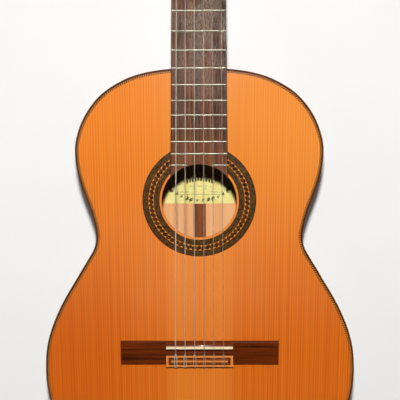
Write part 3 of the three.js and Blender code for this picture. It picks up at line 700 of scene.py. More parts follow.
def eased(node, look, radius=0.3, crease=32):
    """A CAD node with its sharp edges rounded over, which stands for the node."""
    bm = cad_shape(node)
    round_edges(bm, radius, crease, 2)
    return piece(node + "_eased", bm, look, frame["nodes"][node]["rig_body"], [node], crease)


def walls(bm, rings, closed=False):
    """Joins each ring of points to the next one, and in a closed run the last one to the first."""
    rows = [[bm.verts.new(p) for p in ring] for ring in rings]
    for a, b in zip(rows, rows[1:] + rows[:1] if closed else rows[1:]):
        for k in range(len(a)):
            n = (k + 1) % len(a)
            bm.faces.new((a[k], a[n], b[n], b[k]))
    return rows


def skin(bm, rings, closed=False):
    """Joins rings of points into walls; an open run gets a cap on each end."""
    rows = walls(bm, rings, closed)
    if not closed:
        bm.faces.new(rows[0])
        bm.faces.new(rows[-1][::-1])
    return rows


def skinned(*runs, closed=False):
    """A new shape of one or more runs of rings."""
    bm = bmesh.new()
    for rings in runs:
        skin(bm, rings, closed)
    return bm


def full_circle(sides):
    """The angles of points spread evenly round a circle."""
    return [math.tau * n / sides for n in range(sides)]


def tube(bm, points, radius, sides=10):
    """A round tube through points in metres, with its radius in millimetres."""
    rings = []
    side = None
    for k, point in enumerate(points):
        before = points[max(k - 1, 0)]
        after = points[min(k + 1, len(points) - 1)]
        along = (after - before).normalized()
        side = along.orthogonal() if side is None else side - along * side.dot(along)
        side.normalize()
        up = along.cross(side)
        spokes = [side * math.cos(a) + up * math.sin(a) for a in full_circle(sides)]
        rings.append([point + spoke * radius * MM for spoke in spokes])
    skin(bm, rings)


def smooth_path(points, steps=6):
    """Points on a smooth curve that passes through the given ones."""
    made = []
    for k in range(len(points) - 1):
        a, b, c, d = (points[min(max(k + n, 0), len(points) - 1)] for n in (-1, 0, 1, 2))
        for n in range(steps):
            t = n / steps
            place = 2 * b + (c - a) * t
            place += (2 * a - 5 * b + 4 * c - d) * t * t
            place += (3 * b - a - 3 * c + d) * t**3
            made.append(0.5 * place)
    return made + [points[-1]]


def spun(bm, profile, place, sides=24):
    """A turned shape: profile is (radius, height) in millimetres, about the z axis of a placing matrix."""
    rings = []
    for radius, height in profile:
        ring = [Vector((radius * math.cos(a), radius * math.sin(a), height)) for a in full_circle(sides)]
        rings.append([place @ (point * MM) for point in ring])
    skin(bm, rings)


# ---- Sound box ----


def rim_of(node):
    """The widest loop of points round a flat node's top, from the neck's centreline, clockwise from above."""
    bm = bmesh.new()
    bm.from_mesh(frame["nodes"][node].data)
    bmesh.ops.remove_doubles(bm, verts=bm.verts, dist=1e-6)
    top = max(v.co.z for v in bm.verts)
    flat = {v for v in bm.verts if abs(v.co.z - top) < 1e-6}
    rim = set()
    for e in bm.edges:
        if flat.issuperset(e.verts) and not all(flat.issuperset(f.verts) for f in e.link_faces):
            rim.add(e)
    loops = []
    while rim:
        edge = min(rim, key=lambda e: e.index)
        vert = edge.verts[0]
        loop = []
        while edge:
            rim.discard(edge)
            loop.append(vert.co.copy())
            vert = edge.other_vert(vert)
            edge = next((e for e in vert.link_edges if e in rim), None)
        loops.append(loop)
    bm.free()
    loop = max(loops, key=lambda points: max(p.x for p in points))
    if sum(a.x * b.y - b.x * a.y for a, b in zip(loop, loop[1:] + loop[:1])) > 0:
        loop = loop[::-1]
    first = max(range(len(loop)), key=lambda k: loop[k].y - abs(loop[k].x))
    return loop[first:] + loop[:first]


RIM = [(p - ORIGIN) / MM for p in rim_of("top_binding")]
RIM = smooth_path(RIM[-2:] + RIM + RIM[:3], 4)[8:-12]  # four times as many points, joined smoothly
HALF_RIM = len(RIM) // 2


def body_edge(inset):
    """The body's outline moved inwards, as (x, y) points: right half down, then left half up."""
    points = []
    for before, here, after in zip(RIM[-1:] + RIM[:-1], RIM, RIM[1:] + RIM[:1]):
        along = (after - before).normalized()
        points.append((here.x + along.y * inset, here.y - along.x * inset))
    return points


def level(points, z):
    """Outline points at one height."""
    return [at(x, y, z) for x, y in points]


def circle_towards(points, radius):
    """Points on a circle round the soundhole, each in the direction of one of the given points."""
    made = []
    for x, y in points:
        reach = math.hypot(x, y - HOLE_Y)
        made.append((x * radius / reach, HOLE_Y + (y - HOLE_Y) * radius / reach))
    return made


def soundboard():
    """The top plate, with a trench for the ring inlay and the soundhole's edge eased."""
    outer = body_edge(ROPE_EDGE)
    rings = [level(outer, -TOP_THICK), level(outer, 0)]
    for radius, z in (
        (ROSETTE[1], 0),
        (ROSETTE[1], -ROSETTE_DEEP),
        (ROSETTE[0], -ROSETTE_DEEP),
        (ROSETTE[0], 0),
        (HOLE_RADIUS + 0.5, 0),
        (HOLE_RADIUS + 0.15, -0.15),
        (HOLE_RADIUS, -0.5),
        (HOLE_RADIUS, -2.3),
        (HOLE_RADIUS + 0.2, -TOP_THICK),
    ):
        rings.append(level(circle_towards(outer, radius), z))
    piece("soundboard_cedar", skinned(rings, closed=True), CEDAR, stands_for=["soundboard"])


def rosette():
    """The ring inlay, level with the soundboard."""
    inner, outer = ROSETTE
    profile = [(inner, -ROSETTE_DEEP), (inner, -0.02), (inner + 0.05, 0)]
    profile += [(outer - 0.05, 0), (outer, -0.02), (outer, -ROSETTE_DEEP)]
    angles = full_circle(180)
    rings = [[at(r * math.cos(a), HOLE_Y + r * math.sin(a), z) for a in angles] for r, z in profile]
    piece("rosette_ring", skinned(rings, closed=True), MARQUETRY, stands_for=["rosette"])


def lay_along(bm, rows, profile, keys, closed):
    """Gives a strip coordinates in metres: along the body's edge, and across the strip's own profile."""
    marks = bm.loops.layers.uv.new("along")
    middle = [Vector(p) for p in body_edge(1.2)]
    length = [0.0]
    for a, b in zip(middle, middle[1:] + middle[:1]):
        length.append(length[-1] + (b - a).length * MM)
    across = [0.0]
    for a, b in zip(profile, profile[1:]):
        across.append(across[-1] + math.dist(a, b) * MM)
    place = {v: (k, across[n]) for row, k in zip(rows, keys) for n, v in enumerate(row)}
    for face in bm.faces:
        wraps = closed and {0, len(RIM) - 1} <= {place[v][0] for v in face.verts}
        for corner in face.loops:
            k, side = place[corner.vert]
            corner[marks].uv = (length[len(RIM) if wraps and k == 0 else k], side)


def strip(name, look, profile, stands_for):
    """A strip right round the body, through (inset, z) points."""
    outlines = [body_edge(inset) for inset, _ in profile]
    bm = bmesh.new()
    rings = [[at(*outline[k], z) for outline, (_, z) in zip(outlines, profile)] for k in range(len(RIM))]
    rows = skin(bm, rings, closed=True)
    lay_along(bm, rows, profile, range(len(RIM)), True)
    piece(name, bm, look, stands_for=stands_for)


def edge_strips():
    """The rope-patterned purfling, and the bindings, rounded where the arm and the lap touch them."""
    rope = [(BINDING_EDGE, 0), (ROPE_EDGE, 0), (ROPE_EDGE, -TOP_THICK), (BINDING_EDGE, -TOP_THICK)]
    strip("top_purfling_rope", PURFLING, rope, ["top_purfling"])
    rounded = [(0, BINDING_DEEP), (0, 1.5), (0.1, 0.85), (0.35, 0.35), (0.85, 0.1), (1.4, 0), (2.05, 0)]
    rounded += [(BINDING_EDGE, 0.02), (BINDING_EDGE, BINDING_DEEP)]
    for name, base, inwards in (("top_binding", 0, -1), ("back_binding", -SIDE_DEPTH, 1)):
        profile = [(inset, base + inwards * deep) for inset, deep in rounded]
        strip(name + "_strip", BINDING, profile, [name])


def sides():
    """Two bent sides, each a little hollow in its middle as bent wood is."""
    high, low = -BINDING_DEEP, BINDING_DEEP - SIDE_DEPTH
    hollow = [(0.06, -20), (0.1, -48), (0.06, -76)]
    profile = [(SIDE_THICK, high), (0, high), *hollow, (0, low), (SIDE_THICK, low)]
    outlines = [body_edge(inset) for inset, _ in profile]
    for sign, words in ((1, "treble"), (-1, "bass")):
        keys = [sign * k for k in range(HALF_RIM + 1)]
        rings = []
        for k in keys:
            ring = []
            for outline, (_, z) in zip(outlines, profile):
                x, y = outline[k]
                ring.append(at(x if k else sign * 0.03, y, z))  # under the neck, just short of the centreline
            rings.append(ring)
        bm = bmesh.new()
        rows = skin(bm, rings)
        lay_along(bm, rows, profile, [abs(k) for k in keys], False)
        piece(words + "_side_bent", bm, ROSEWOOD_BENT, stands_for=[words + "_side"])


def back_plate():
    """The back, flat in its middle and curving up to its edge."""
    insets = [2.4, 5, 8, 11, 14, 18, 22, 26, 30, 34]
    curved = insets[-1] - insets[0]
    drops = [BACK_ARCH * (1 - (1 - (inset - insets[0]) / curved) ** 2) for inset in insets]
    outside = [level(body_edge(inset), -SIDE_DEPTH - drop) for inset, drop in zip(insets, drops)]
    inside = [level(body_edge(inset), BACK_THICK - SIDE_DEPTH - drop) for inset, drop in zip(insets, drops)]
    bm = bmesh.new()
    rows = walls(bm, [*outside[::-1], *inside])
    # The flat middle, in strips from side to side.
    for row in (rows[0], rows[-1]):
        for k in range(HALF_RIM):
            corners = [row[k], row[k + 1], row[-k - 1], row[-k % len(row)]]
            bm.faces.new(list(dict.fromkeys(corners)))
    piece("back_plate_arched", bm, BACK, stands_for=["back_plate"], crease=50)


def label():
    """The paper label, with a little lift at its corners."""
    low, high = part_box("label")
    bm = bmesh.new()
    columns, rows = 24, 16
    sheets = []
    for lift in (0.12, 0.22):  # its two faces
        sheet = {}
        for i in range(columns + 1):
            for j in range(rows + 1):
                u, v = i / columns, j / rows
                corner = 0.5 * (abs(2 * u - 1) ** 6) * (abs(2 * v - 1) ** 2)
                z = lift + corner + 0.06 * perlin((u * 5, v * 4, 0))
                place = (low.x + (high.x - low.x) * u, low.y + (high.y - low.y) * v, low.z + z * MM)
                sheet[i, j] = bm.verts.new(place)
        for i in range(columns):
            for j in range(rows):
                bm.faces.new((sheet[i, j], sheet[i + 1, j], sheet[i + 1, j + 1], sheet[i, j + 1]))
        sheets.append(sheet)
    around = [(i, 0) for i in range(columns)] + [(columns, j) for j in range(rows)]
    around += [(columns - i, rows) for i in range(columns)] + [(0, rows - j) for j in range(rows)]
    for a, b in zip(around, around[1:] + around[:1]):
        bm.faces.new((sheets[0][a], sheets[0][b], sheets[1][b], sheets[1][a]))
    piece("label_sheet", bm, PAPER, stands_for=["label"])


soundboard()
rosette()
edge_strips()
sides()
back_plate()
label()
eased("back_centre_strip", STRIP_WOOD, 0.4)
paint(LINING, "top_lining", "back_lining")
paint(SPRUCE, "fan_bracing", "upper_harmonic_bar", "lower_harmonic_bar")
paint(SPRUCE, "back_brace_1", "back_brace_2", "back_brace_3")
paint(MAHOGANY, "tail_block")

# ---- Neck ----


def fret_y(number):
    """Where a fret lies, by the rule of the twelfth root of two."""
    return NUT_Y - SCALE * (1 - 2 ** (-number / 12))


def board_half(y):
    """Half the fretboard's width."""
    return (NUT_WIDTH + (JOIN_WIDTH - NUT_WIDTH) * (NUT_Y - y) / NUT_Y) / 2


def hole_edge(x):
    """How far up the fretboard ends at some distance from the centreline, on the soundhole's circle."""
    return HOLE_Y + math.sqrt(HOLE_RADIUS**2 - x * x)


def fretboard():
    """The fretboard, cut to the soundhole's curve, with its edges eased."""
    half = next(x / 10 for x in range(300, 400) if x / 10 >= board_half(hole_edge(x / 10)))
    curve = [(half * math.cos(math.pi * k / 28), 0) for k in range(29)]
    outline = [(x, hole_edge(x)) for x, _ in curve]
    nut_end = NUT_Y - 0.3
    outline += [(-board_half(nut_end), nut_end), (board_half(nut_end), nut_end)]
    bm = skinned([level(outline, z) for z in (0.05, BOARD_TOP)])
    sharp = [e for e in bm.edges if e.calc_face_angle(0) > 0.6]
    bmesh.ops.bevel(bm, geom=sharp, offset=0.35 * MM, segments=2, affect="EDGES", clamp_overlap=True)
    piece("fretboard_wood", bm, FINGERBOARD, stands_for=["fretboard"])


def fret(name, y, spans):
    """A fret wire with a round crown and slanted, rounded ends."""
    turns = [math.pi * k / 8 for k in range(9)]
    bm = bmesh.new()
    for start, end in spans:
        rings = []
        ends = [(0, 0.25), (0.5, 0.8), (1.1, 1)]
        heights = [(start + inset, size) for inset, size in ends]
        heights += [(end - inset, size) for inset, size in ends[::-1]]
        for x, size in heights:
            arc = [(math.cos(turn), 0.98 * size * math.sin(turn)) for turn in turns]
            rings.append([at(x, y + dy, BOARD_TOP + dz) for dy, dz in arc])
        skin(bm, rings)
    piece(name, bm, FRET_METAL, crease=60)


def frets():
    """All the frets; the soundhole cuts the last one in two."""
    for number in range(1, FRETS + 1):
        y = fret_y(number)
        half = board_half(y) - 0.4
        spans = [(-half, half)]
        if number == FRETS:
            gap = math.sqrt(HOLE_RADIUS**2 - (y - 1.2 - HOLE_Y) ** 2) + 0.5
            spans = [(-half, -gap), (gap, half)]
        fret(f"fret_{number}", y, spans)


def half_round(half, depth, power=2.0, base=-1000.0):
    """The lower half of a rounded section, as (x, z) points; a high power makes it squarer."""
    points = []
    for k in range(33):
        turn = math.pi * k / 32
        x = math.copysign(abs(math.cos(turn)) ** (2 / power), math.cos(turn))
        points.append((half * x, max(-depth * math.sin(turn) ** (2 / power), base)))
    return points


def neck():
    """Shaft and heel in one smooth sweep, and the foot that lies on the back inside the body."""
    # How deep the neck is under the soundboard's plane, at each y.
    profile = [(HEAD_Y + 0.2, 18), (312, 16), (290, 15.2), (190, 16.2), (90, 17.5), (66, 20), (48, 27)]
    profile += [(36, 40), (29, 58), (25, 80), (22.5, 104), (0.1, 112)]
    heel_base = -92
    rings = []
    for y, deep in smooth_path([Vector(pair) for pair in profile], 6):
        section = half_round(board_half(max(y, 0)), deep, base=heel_base)
        rings.append([at(x, y, z) for x, z in section])
    foot = [(-2.7, -2.9), (-2.7, -94), (-14, -95.2), (-35, -97.1), (-63, -97.1), (-63, -91), (-52, -88)]
    foot += [(-40, -82), (-35, -74), (-35, -2.9)]
    foot_half = 30
    foot_ends = [[at(x, y, z) for y, z in foot] for x in (-foot_half, foot_half)]
    piece("neck_carved", skinned(rings, foot_ends), MAHOGANY, stands_for=["neck"], crease=30)


def bezier(a, b, c, d, steps=14):
    """Points from a to d on a curve that leaves a towards b and reaches d from c."""
    points = []
    for k in range(steps):
        t = k / steps
        shares = ((1 - t) ** 3, 3 * t * (1 - t) ** 2, 3 * t * t * (1 - t), t**3)
        points.append(tuple(sum(s * p[n] for s, p in zip(shares, (a, b, c, d))) for n in (0, 1)))
    return points


def head_outline(start):
    """The headstock's outline from some distance above the nut, anticlockwise from its right."""
    right = bezier(*SHOULDER) + [(HEAD_HALF, 26), (HEAD_HALF, 90), (HEAD_HALF, 150)]
    right += bezier((HEAD_HALF, 160), (HEAD_HALF, 176), (17, 183.5), (0, HEAD_LENGTH))
    right = [(HEAD_HALF if x > HEAD_HALF - 0.01 else x, y) for x, y in right if y > start]
    first = next(x for x, y in bezier(*SHOULDER, 200) if y >= start)
    right = [(first, start)] + right
    return right + [(0, HEAD_LENGTH)] + [(-x, y) for x, y in right[::-1]]


def slot_outline(side):
    """A long hole with round ends, through which three strings reach their rollers."""
    low, high = SLOT_ENDS
    points = []
    for middle, start in ((high, 0), (low, math.pi)):
        for k in range(17):
            turn = start + math.pi * k / 16
            x = side * SLOT_X + SLOT_RADIUS * math.cos(turn)
            points.append((x, middle + SLOT_RADIUS * math.sin(turn)))
    return points


def head_plate(start, low, high):
    """A slotted board with the headstock's outline."""
    bm = bmesh.new()
    edges = []
    for outline in (head_outline(start), slot_outline(1), slot_outline(-1)):
        verts = [bm.verts.new(on_head(x, y, low)) for x, y in outline]
        edges += [bm.edges.new((a, b)) for a, b in zip(verts, verts[1:] + verts[:1])]
    fill = bmesh.ops.triangle_fill(bm, use_beauty=True, edges=edges)
    faces = [f for f in fill["geom"] if isinstance(f, bmesh.types.BMFace)]
    moved = bmesh.ops.extrude_face_region(bm, geom=faces)
    rise = on_head(0, 0, high) - on_head(0, 0, low)
    bmesh.ops.translate(bm, verts=[v for v in moved["geom"] if isinstance(v, bmesh.types.BMVert)], vec=rise)
    bmesh.ops.recalc_face_normals(bm, faces=bm.faces)
    return bm


def headstock():
    """The slotted headstock, which grows square out of the round neck, and its dark veneer."""
    bm = head_plate(20, -HEAD_THICK, 0)
    round_edges(bm, 0.9)
    rings = [[at(x, HEAD_Y, z) for x, z in half_round(NUT_WIDTH / 2, 18)]]
    spread = bezier(*SHOULDER, 60)
    for y in (1, 3, 5, 7, 9, 11, 13, 15, 17, 19, 20.5):
        half = next(x for x, along in spread if along >= y)
        square = (y / 20.5) ** 1.6
        section = half_round(half, 18.2 - 1.2 * square, 2 + 22 * square)
        rings.append([on_head(x, y, min(z, -0.02)) for x, z in section])
    skin(bm, rings)
    piece("headstock_slotted", bm, MAHOGANY, stands_for=["headstock"], crease=30)
    facing = head_plate(0.2, 0.02, 2.2)
    round_edges(facing, 0.5)
    piece("headstock_facing", facing, ROSEWOOD, stands_for=["headstock_veneer"])


fretboard()
frets()
neck()
headstock()
eased("heel_cap", ROSEWOOD, 0.4)
eased("nut", SADDLE_BONE, 0.35)

# ---- Bridge ----


def carve(made, cutter):
    """Cuts one mesh out of a finished piece."""
    bmesh.ops.recalc_face_normals(cutter, faces=cutter.faces)
    tool = add_object("cutter", mesh_from("cutter", cutter))
    made.modifiers.clear()
    cut = made.modifiers.new("cut", "BOOLEAN")
    cut.object = tool
    cut.solver = "EXACT"
    bpy.context.view_layer.update()
    result = made.evaluated_get(bpy.context.evaluated_depsgraph_get())
    made.data = bpy.data.meshes.new_from_object(result)
    made.modifiers.clear()
    bpy.data.objects.remove(tool)
    shade_flat_faces_flat(made)


def bridge():
    """Two low wings with soft edges, the slotted saddle block, and the tie block with its six holes."""
    foot = 0.02  # its clearance from the soundboard
    bm = bmesh.new()
    for side, soft in ((-1, 0.25), (1, 1)):
        round_over = soft * 2.4
        wing = [(BRIDGE_BACK, foot), (BRIDGE_BACK, 2.5), (BRIDGE_BACK + 0.4, 3.15)]
        wing.append((BRIDGE_BACK + 1.1, WING_TOP))
        for lean in range(0, 91, 15):
            turn = math.radians(lean)
            y = BRIDGE_FRONT - round_over * (1 - math.sin(turn))
            wing.append((y, WING_TOP - round_over * (1 - math.cos(turn))))
        wing.append((BRIDGE_FRONT, foot))
        ends = ((39.9, 1), (93.6, 1), (94.5, 0.93), (BRIDGE_HALF, 0.72))
        skin(bm, [[at(side * x, y, z * size) for y, z in wing] for x, size in ends])
    # The middle from the back to the front: tie block, valley, saddle slot and sloping front.
    middle = [(BRIDGE_BACK, foot), (BRIDGE_BACK, BRIDGE_TOP), (TIE_FRONT, BRIDGE_TOP), (TIE_FRONT, 3.6)]
    middle += [(-330, 3.6), (-330, 8.1), (-329.6, BRIDGE_TOP), (-328.2, BRIDGE_TOP), (-328.2, 3.5)]
    middle += [(-324.8, 3.5), (-324.8, BRIDGE_TOP), (-324.35, 8.44), (-323.9, 8.2), (-323.2, 7.5)]
    middle += [(-322.3, 6.4), (-321.7, 5.1), (-321.2, 3.6), (BRIDGE_FRONT, 2.6), (BRIDGE_FRONT, foot)]
    ends = (-TIE_HALF, -TIE_HALF + 0.3, TIE_HALF - 0.3, TIE_HALF)
    skin(bm, [[at(x, y, z) for y, z in middle] for x in ends])
    made = piece("bridge_carved", bm, ROSEWOOD_ACROSS, stands_for=["bridge"], crease=26)
    holes = bmesh.new()
    for number in range(1, 7):
        x = (3.5 - number) / 5 * SPREAD_AT_SADDLE
        bore = Matrix.Translation(at(x, BRIDGE_BACK, TIE_HOLE_Z)) @ Matrix.Rotation(math.pi / 2, 4, "X")
        spun(holes, [(1.2, 2), (1.2, -16)], bore, 16)
    carve(made, holes)


def tie_panel():
    """What fills the tie block's window: a dark border, a brown veneer and a light line down its middle."""
    low = at(3.1 - TIE_HALF, BRIDGE_BACK + 2.4, TIE_TOP - 0.9)
    high = at(TIE_HALF - 3.1, TIE_FRONT - 2.4, TIE_TOP - 0.1)
    for name, x_cut, y_cut, lift, look in (
        ("tie_block_panel", 0, 0, 0, ROSEWOOD_ACROSS),
        ("tie_block_veneer", 1.7, 1.3, 0.04, PANEL),
        ("tie_block_line", 3.2, 3.5, 0.08, INLAY),
    ):
        x0, x1 = low.x + x_cut * MM, high.x - x_cut * MM
        y0, y1 = low.y + y_cut * MM, high.y - y_cut * MM
        corners = [(x0, y0), (x1, y0), (x1, y1), (x0, y1)]
        bm = skinned([[Vector((x, y, z)) for x, y in corners] for z in (low.z, high.z + lift * MM)])
        round_edges(bm, 0.04)
        piece(name, bm, look)


bridge()
eased("tie_block_inlay", INLAY, 0.2)
eased("saddle", SADDLE_BONE, 0.25, 20)
tie_panel()

# ---- Strings ----


def roller_place(string):
    """Which roller a string goes to: its spot along the headstock, its x and its side."""
    place = string - 1 if string <= 3 else 6 - string
    side = 1 if string <= 3 else -1
    return ROLLER_SPOTS[place], side * ROLLER_X[place], side


def string_look(number):
    """The basses are wound with wire and the trebles are plain nylon."""
    return WIRE if number >= 4 else NYLON


def string(number):
    """One string: tied at the bridge with its loop and tail, over the saddle and the nut to its roller."""
    radius = STRING_RADII[number - 1]
    side = (3.5 - number) / 5
    x = side * SPREAD_AT_SADDLE
    apart = 1.35 if number >= 4 else 1.0  # half the gap between its two strands on the tie block
    top = TIE_TOP + radius + 0.05
    back = BRIDGE_BACK - radius - 0.15
    tie = [
        (apart * 0.2, back - 0.4, TIE_HOLE_Z + 2.6),
        (apart * 0.5, back - 0.1, top - 1.5),
        (apart * 0.85, BRIDGE_BACK + 0.3, top - 0.1),
        (apart, BRIDGE_BACK + 2.4, top),
        (apart, -343, top),
        (apart, TIE_FRONT - 2.2, top),
        (apart * 0.75, TIE_FRONT - 0.2, top - 0.1),
        (apart * 0.3, TIE_FRONT + radius + 0.7, top - 1.2),
        (0, TIE_FRONT + radius + 1.1, TIE_HOLE_Z + 0.5 - 2 * radius),
        (-apart * 0.4, TIE_FRONT + radius + 0.7, top - 1.4),
        (-apart * 0.8, TIE_FRONT - 0.2, top - 0.1),
        (-apart, TIE_FRONT - 2.2, top),
        (-apart, -343, top),
        (-apart, BRIDGE_BACK + 2.4, top),
        (-apart * 0.85, BRIDGE_BACK + 0.3, top - 0.1),
        (-apart * 0.5, back - 0.2, top - 1.6),
        (-apart * 0.2, back - 0.2, TIE_HOLE_Z + 1.2),
        (0, BRIDGE_BACK + 0.6, TIE_HOLE_Z),
        (0, TIE_FRONT - 2, TIE_HOLE_Z),
        (0, TIE_FRONT + 0.6, TIE_HOLE_Z),
    ]
    points = smooth_path([at(x + dx, y, z) for dx, y, z in tie], 5)
    lift = radius + 0.05  # how high its middle runs over what it rests on
    nut_x = side * SPREAD_AT_NUT
    for px, y, z in (
        (x, SADDLE_Y - 0.9, SADDLE_TOP + lift - 0.25),
        (x, SADDLE_Y - 0.2, SADDLE_TOP + lift),
        (x, SADDLE_Y + 0.6, SADDLE_TOP + lift),
        (nut_x, NUT_Y + 0.3, NUT_TOP + lift),
        (nut_x, NUT_Y + 1.4, NUT_TOP + lift - 0.02),
        (nut_x, NUT_Y + 2.6, NUT_TOP + lift - 0.35),
    ):
        points.append(at(px, y, z))
    spot, roller_x, _ = roller_place(number)
    points.append(on_head(roller_x, spot, ROLLER_Z + ROLLER_RADIUS + lift))
    bm = bmesh.new()
    tube(bm, points, radius, 12)
    if number == 3:
        # Its cut end sticks out behind the bridge.
        end = [(0.3, back, TIE_HOLE_Z + 1.5), (0.2, back - 2.5, TIE_HOLE_Z)]
        end += [(0.9, back - 5.5, 3.2), (1.2, back - 7.5, 2.8)]
        tube(bm, smooth_path([at(x + dx, y, z) for dx, y, z in end], 4), radius, 8)
    piece(f"string_{number}_tied", bm, string_look(number), stands_for=[f"string_{number}"], crease=60)


def winding(number):
    """A string's turns on its roller, and its end tucked into the roller."""
    radius = STRING_RADII[number - 1]
    spot, x, side = roller_place(number)
    turns = 3.5
    steps = 20  # to a turn
    outwards = -side if number in (1, 6) else side
    reach = ROLLER_RADIUS + radius + 0.05
    points = []
    for k in range(int(turns * steps) + 1):
        turn = math.tau * k / steps
        dx = outwards * radius * 2.15 * turn / math.tau
        points.append(on_head(x + dx, spot + reach * math.sin(turn), ROLLER_Z + reach * math.cos(turn)))
    inward = on_head(x + dx, spot, ROLLER_Z)
    points.append(points[-1].lerp(inward, 0.35))
    bm = bmesh.new()
    tube(bm, points, radius, 10)
    piece(f"string_{number}_turns", bm, string_look(number), f"roller_{number}", crease=60)


for number in range(1, 7):
    string(number)
    winding(number)

# ---- Tuning machines ----


def square_to_head(x, y, z):
    """A place on the headstock, with its axes along the headstock's own."""
    return Matrix.Translation(on_head(x, y, z)) @ HEAD.to_3x3().to_4x4()


def facing_out(side, y, z, x=PLATE_FACE):
    """A place on the headstock's flank whose z axis points out sideways."""
    return square_to_head(side * x, y, z) @ Matrix.Rotation(side * math.pi / 2, 4, "Y")


def screw(name, place, radius, height, look, body):
    """A domed screw head with a slot cut across it."""
    bm = bmesh.new()
    dome = [(0.98, 0), (1, 0.25), (0.86, 0.7), (0.5, 0.95)]
    spun(bm, [(radius * out, height * up) for out, up in dome], place, 20)
    made = piece(name, bm, look, body)
    half, long = 0.16 * radius, 1.2 * radius
    corners = [(-half, -long), (half, -long), (half, long), (-half, long)]
    heights = (0.55 * height, 1.4 * height)
    carve(made, skinned([[place @ (Vector((x, y, z)) * MM) for x, y in corners] for z in heights]))


def worm_thread(number, side, spot):
    """The worm's single-start thread, which meshes with the gear."""
    steps = 20  # to a turn
    reach = 29  # steps each way from the middle
    root = 1.5
    x0, y0 = side * WORM_X, spot - WORM_OFFSET
    rings = []
    for k in range(-reach, reach + 1):
        turn = math.tau * k / steps + math.pi / 2
        z = ROLLER_Z + WORM_PITCH * k / steps
        fade = min(1.0, (reach - abs(k)) / 4 + 0.3)
        crest = root + 1.45 * fade
        section = [(root, -0.55), (crest, -0.22), (crest, 0.22), (root, 0.55)]
        rings.append([on_head(x0 + r * math.cos(turn), y0 + r * math.sin(turn), z + dz) for r, dz in section])
    piece(f"worm_thread_{number}", skinned(rings), STEEL, f"worm_{number}", crease=40)


def button(number, side, spot):
    """A pearly oval button with a waist under its metal ferrule."""
    # Depth below the button's top, and half the width and half the length there.
    levels = [(0.2, 2.4, 2.4), (0.6, 2.9, 3.3), (1.4, 2.7, 3.9), (3, 3.1, 6.4), (5, 3.7, 8.6)]
    levels += [(7.5, 4.1, 9.4), (10, 4.1, 9.2), (12.4, 3.7, 8.1), (14.2, 2.8, 6.0), (15.0, 1.6, 3.4)]
    x0, y0 = side * WORM_X, spot - WORM_OFFSET
    rings = []
    for drop, wide, long in levels:
        ring = []
        for a in full_circle(28):
            squarer = math.copysign(abs(math.cos(a)) ** 0.85, math.cos(a))
            ring.append(on_head(x0 + wide * squarer, y0 + long * math.sin(a), BUTTON_TOP - drop))
        rings.append(ring)
    piece(f"button_{number}", skinned(rings), PEARL, f"worm_{number}", [f"tuner_button_{number}"], 50)
    bm = bmesh.new()
    profile = [(1.7, 1.8), (2.4, 1.7), (2.7, 1.0), (2.7, 0.2), (2.4, -0.1), (1.7, -0.15)]
    spun(bm, profile, square_to_head(x0, y0, BUTTON_TOP), 24)
    piece(f"ferrule_{number}", bm, STEEL, f"worm_{number}")


def tuners():
    """Two screwed plates, and on them six rollers with their gears, worms and buttons."""
    for side, words in ((1, "treble"), (-1, "bass")):
        eased(f"tuner_plate_{words}", BRASS, 0.25)
        for k, y in enumerate((43, 76, 111, 143)):
            screw(f"plate_screw_{words}_{k + 1}", facing_out(side, y, ROLLER_Z), 2.3, 1.1, BRASS, "guitar")
    for number in range(1, 7):
        spot, _, side = roller_place(number)
        eased(f"string_roller_{number}", ROLLER_BONE, 0.2, 40)
        eased(f"gear_{number}", BRASS, 0.12)
        eased(f"worm_shaft_{number}", STEEL, 0.12, 40)
        face = facing_out(side, spot, ROLLER_Z, WORM_X + 1.2)
        screw(f"gear_screw_{number}", face, 3.2, 1.3, STEEL, f"roller_{number}")
        worm_thread(number, side, spot)
        button(number, side, spot)


tuners()

# ---- Floor, light and camera ----


def floor():
    """The sheet, a hair below the guitar."""
    bm = bmesh.new()
    bmesh.ops.create_grid(bm, x_segments=1, y_segments=1, size=4)
    mesh = mesh_from("floor", bm)
    mesh.materials.append(FLOOR.material)
    made = add_object("floor", mesh)
    made.location.z = -0.0005


def light(name, kind, place, watts, colour):
    """A light in the scene, and its settings."""
    data = bpy.data.lights.new(name, kind)
    data.energy = watts
    data.color = colour
    made = add_object(name, data)
    made.location = place
    return made, data


def area_light(name, place, aim, size, watts, colour):
    """A round soft light that faces a point."""
    made, data = light(name, "AREA", place, watts, colour)
    data.shape = "DISK"
    data.size = size
    made.rotation_euler = (aim - place).to_track_quat("-Z", "Y").to_euler()


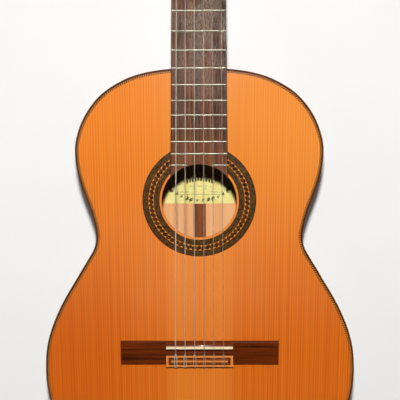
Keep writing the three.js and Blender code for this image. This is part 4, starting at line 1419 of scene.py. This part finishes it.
def near_lamp(name, place, radius, watts, colour):
    """A small lamp that shines as brightly on what is far from it as on what is near."""
    _, data = light(name, "POINT", place, watts, colour)
    data.shadow_soft_size = radius
    data.use_nodes = True
    nodes, links = data.node_tree.nodes, data.node_tree.links
    even = nodes.new("ShaderNodeLightFalloff")
    even.inputs["Strength"].default_value = 1
    links.new(even.outputs["Constant"], nodes["Emission"].inputs["Strength"])


def lights():
    """A lamp near the camera, two weak soft lights from the sides, and the studio's own glow."""
    hole = at(0, HOLE_Y, 0)
    # The main lamp hangs close to the camera, over the neck.
    near_lamp("key", at(2, 95, 710), 0.02, 38, (1, 0.99, 0.972))
    area_light("fill_left", hole + Vector((-1.9, 0.2, 1.5)), hole, 1.4, 3, (0.98, 0.99, 1))
    area_light("fill_right", hole + Vector((1.9, 0.6, 1.6)), hole, 1.4, 2, (1, 0.99, 0.97))
    # The studio round them: dim straight above, brighter towards its walls.
    world = bpy.data.worlds.new("studio")
    world.use_nodes = True
    nodes, links = world.node_tree.nodes, world.node_tree.links
    where = nodes.new("ShaderNodeSeparateXYZ")
    links.new(nodes.new("ShaderNodeTexCoord").outputs["Generated"], where.inputs[0])
    strength = nodes.new("ShaderNodeValToRGB")
    links.new(where.outputs[2], strength.inputs[0])
    band = strength.color_ramp
    band.elements.new(0.45)
    for element, (height, glow) in zip(band.elements, ((0.10, 0.8), (0.45, 0.06), (1.0, 0.005))):
        element.position = height
        element.color = (glow, glow, glow, 1)
    sky = nodes["Background"]
    links.new(strength.outputs[0], sky.inputs[0])
    bpy.context.scene.world = world


def camera():
    """A view from above the upper half of the body, tipped towards the soundhole."""
    data = bpy.data.cameras.new("camera")
    data.sensor_width = 36
    data.lens = 55.44
    pitch, yaw, roll = math.radians(9.32), math.radians(-0.39), math.radians(0.14)
    turn = Matrix.Rotation(roll, 3, "Z") @ Matrix.Rotation(pitch, 3, "X") @ Matrix.Rotation(yaw, 3, "Y")
    made = add_object("camera", data)
    made.matrix_world = Matrix.Translation(at(5.7, -33.9, 704.3)) @ turn.transposed().to_4x4()
    bpy.context.scene.camera = made


floor()
lights()
camera()
bpy.context.scene.view_settings.view_transform = "Standard"
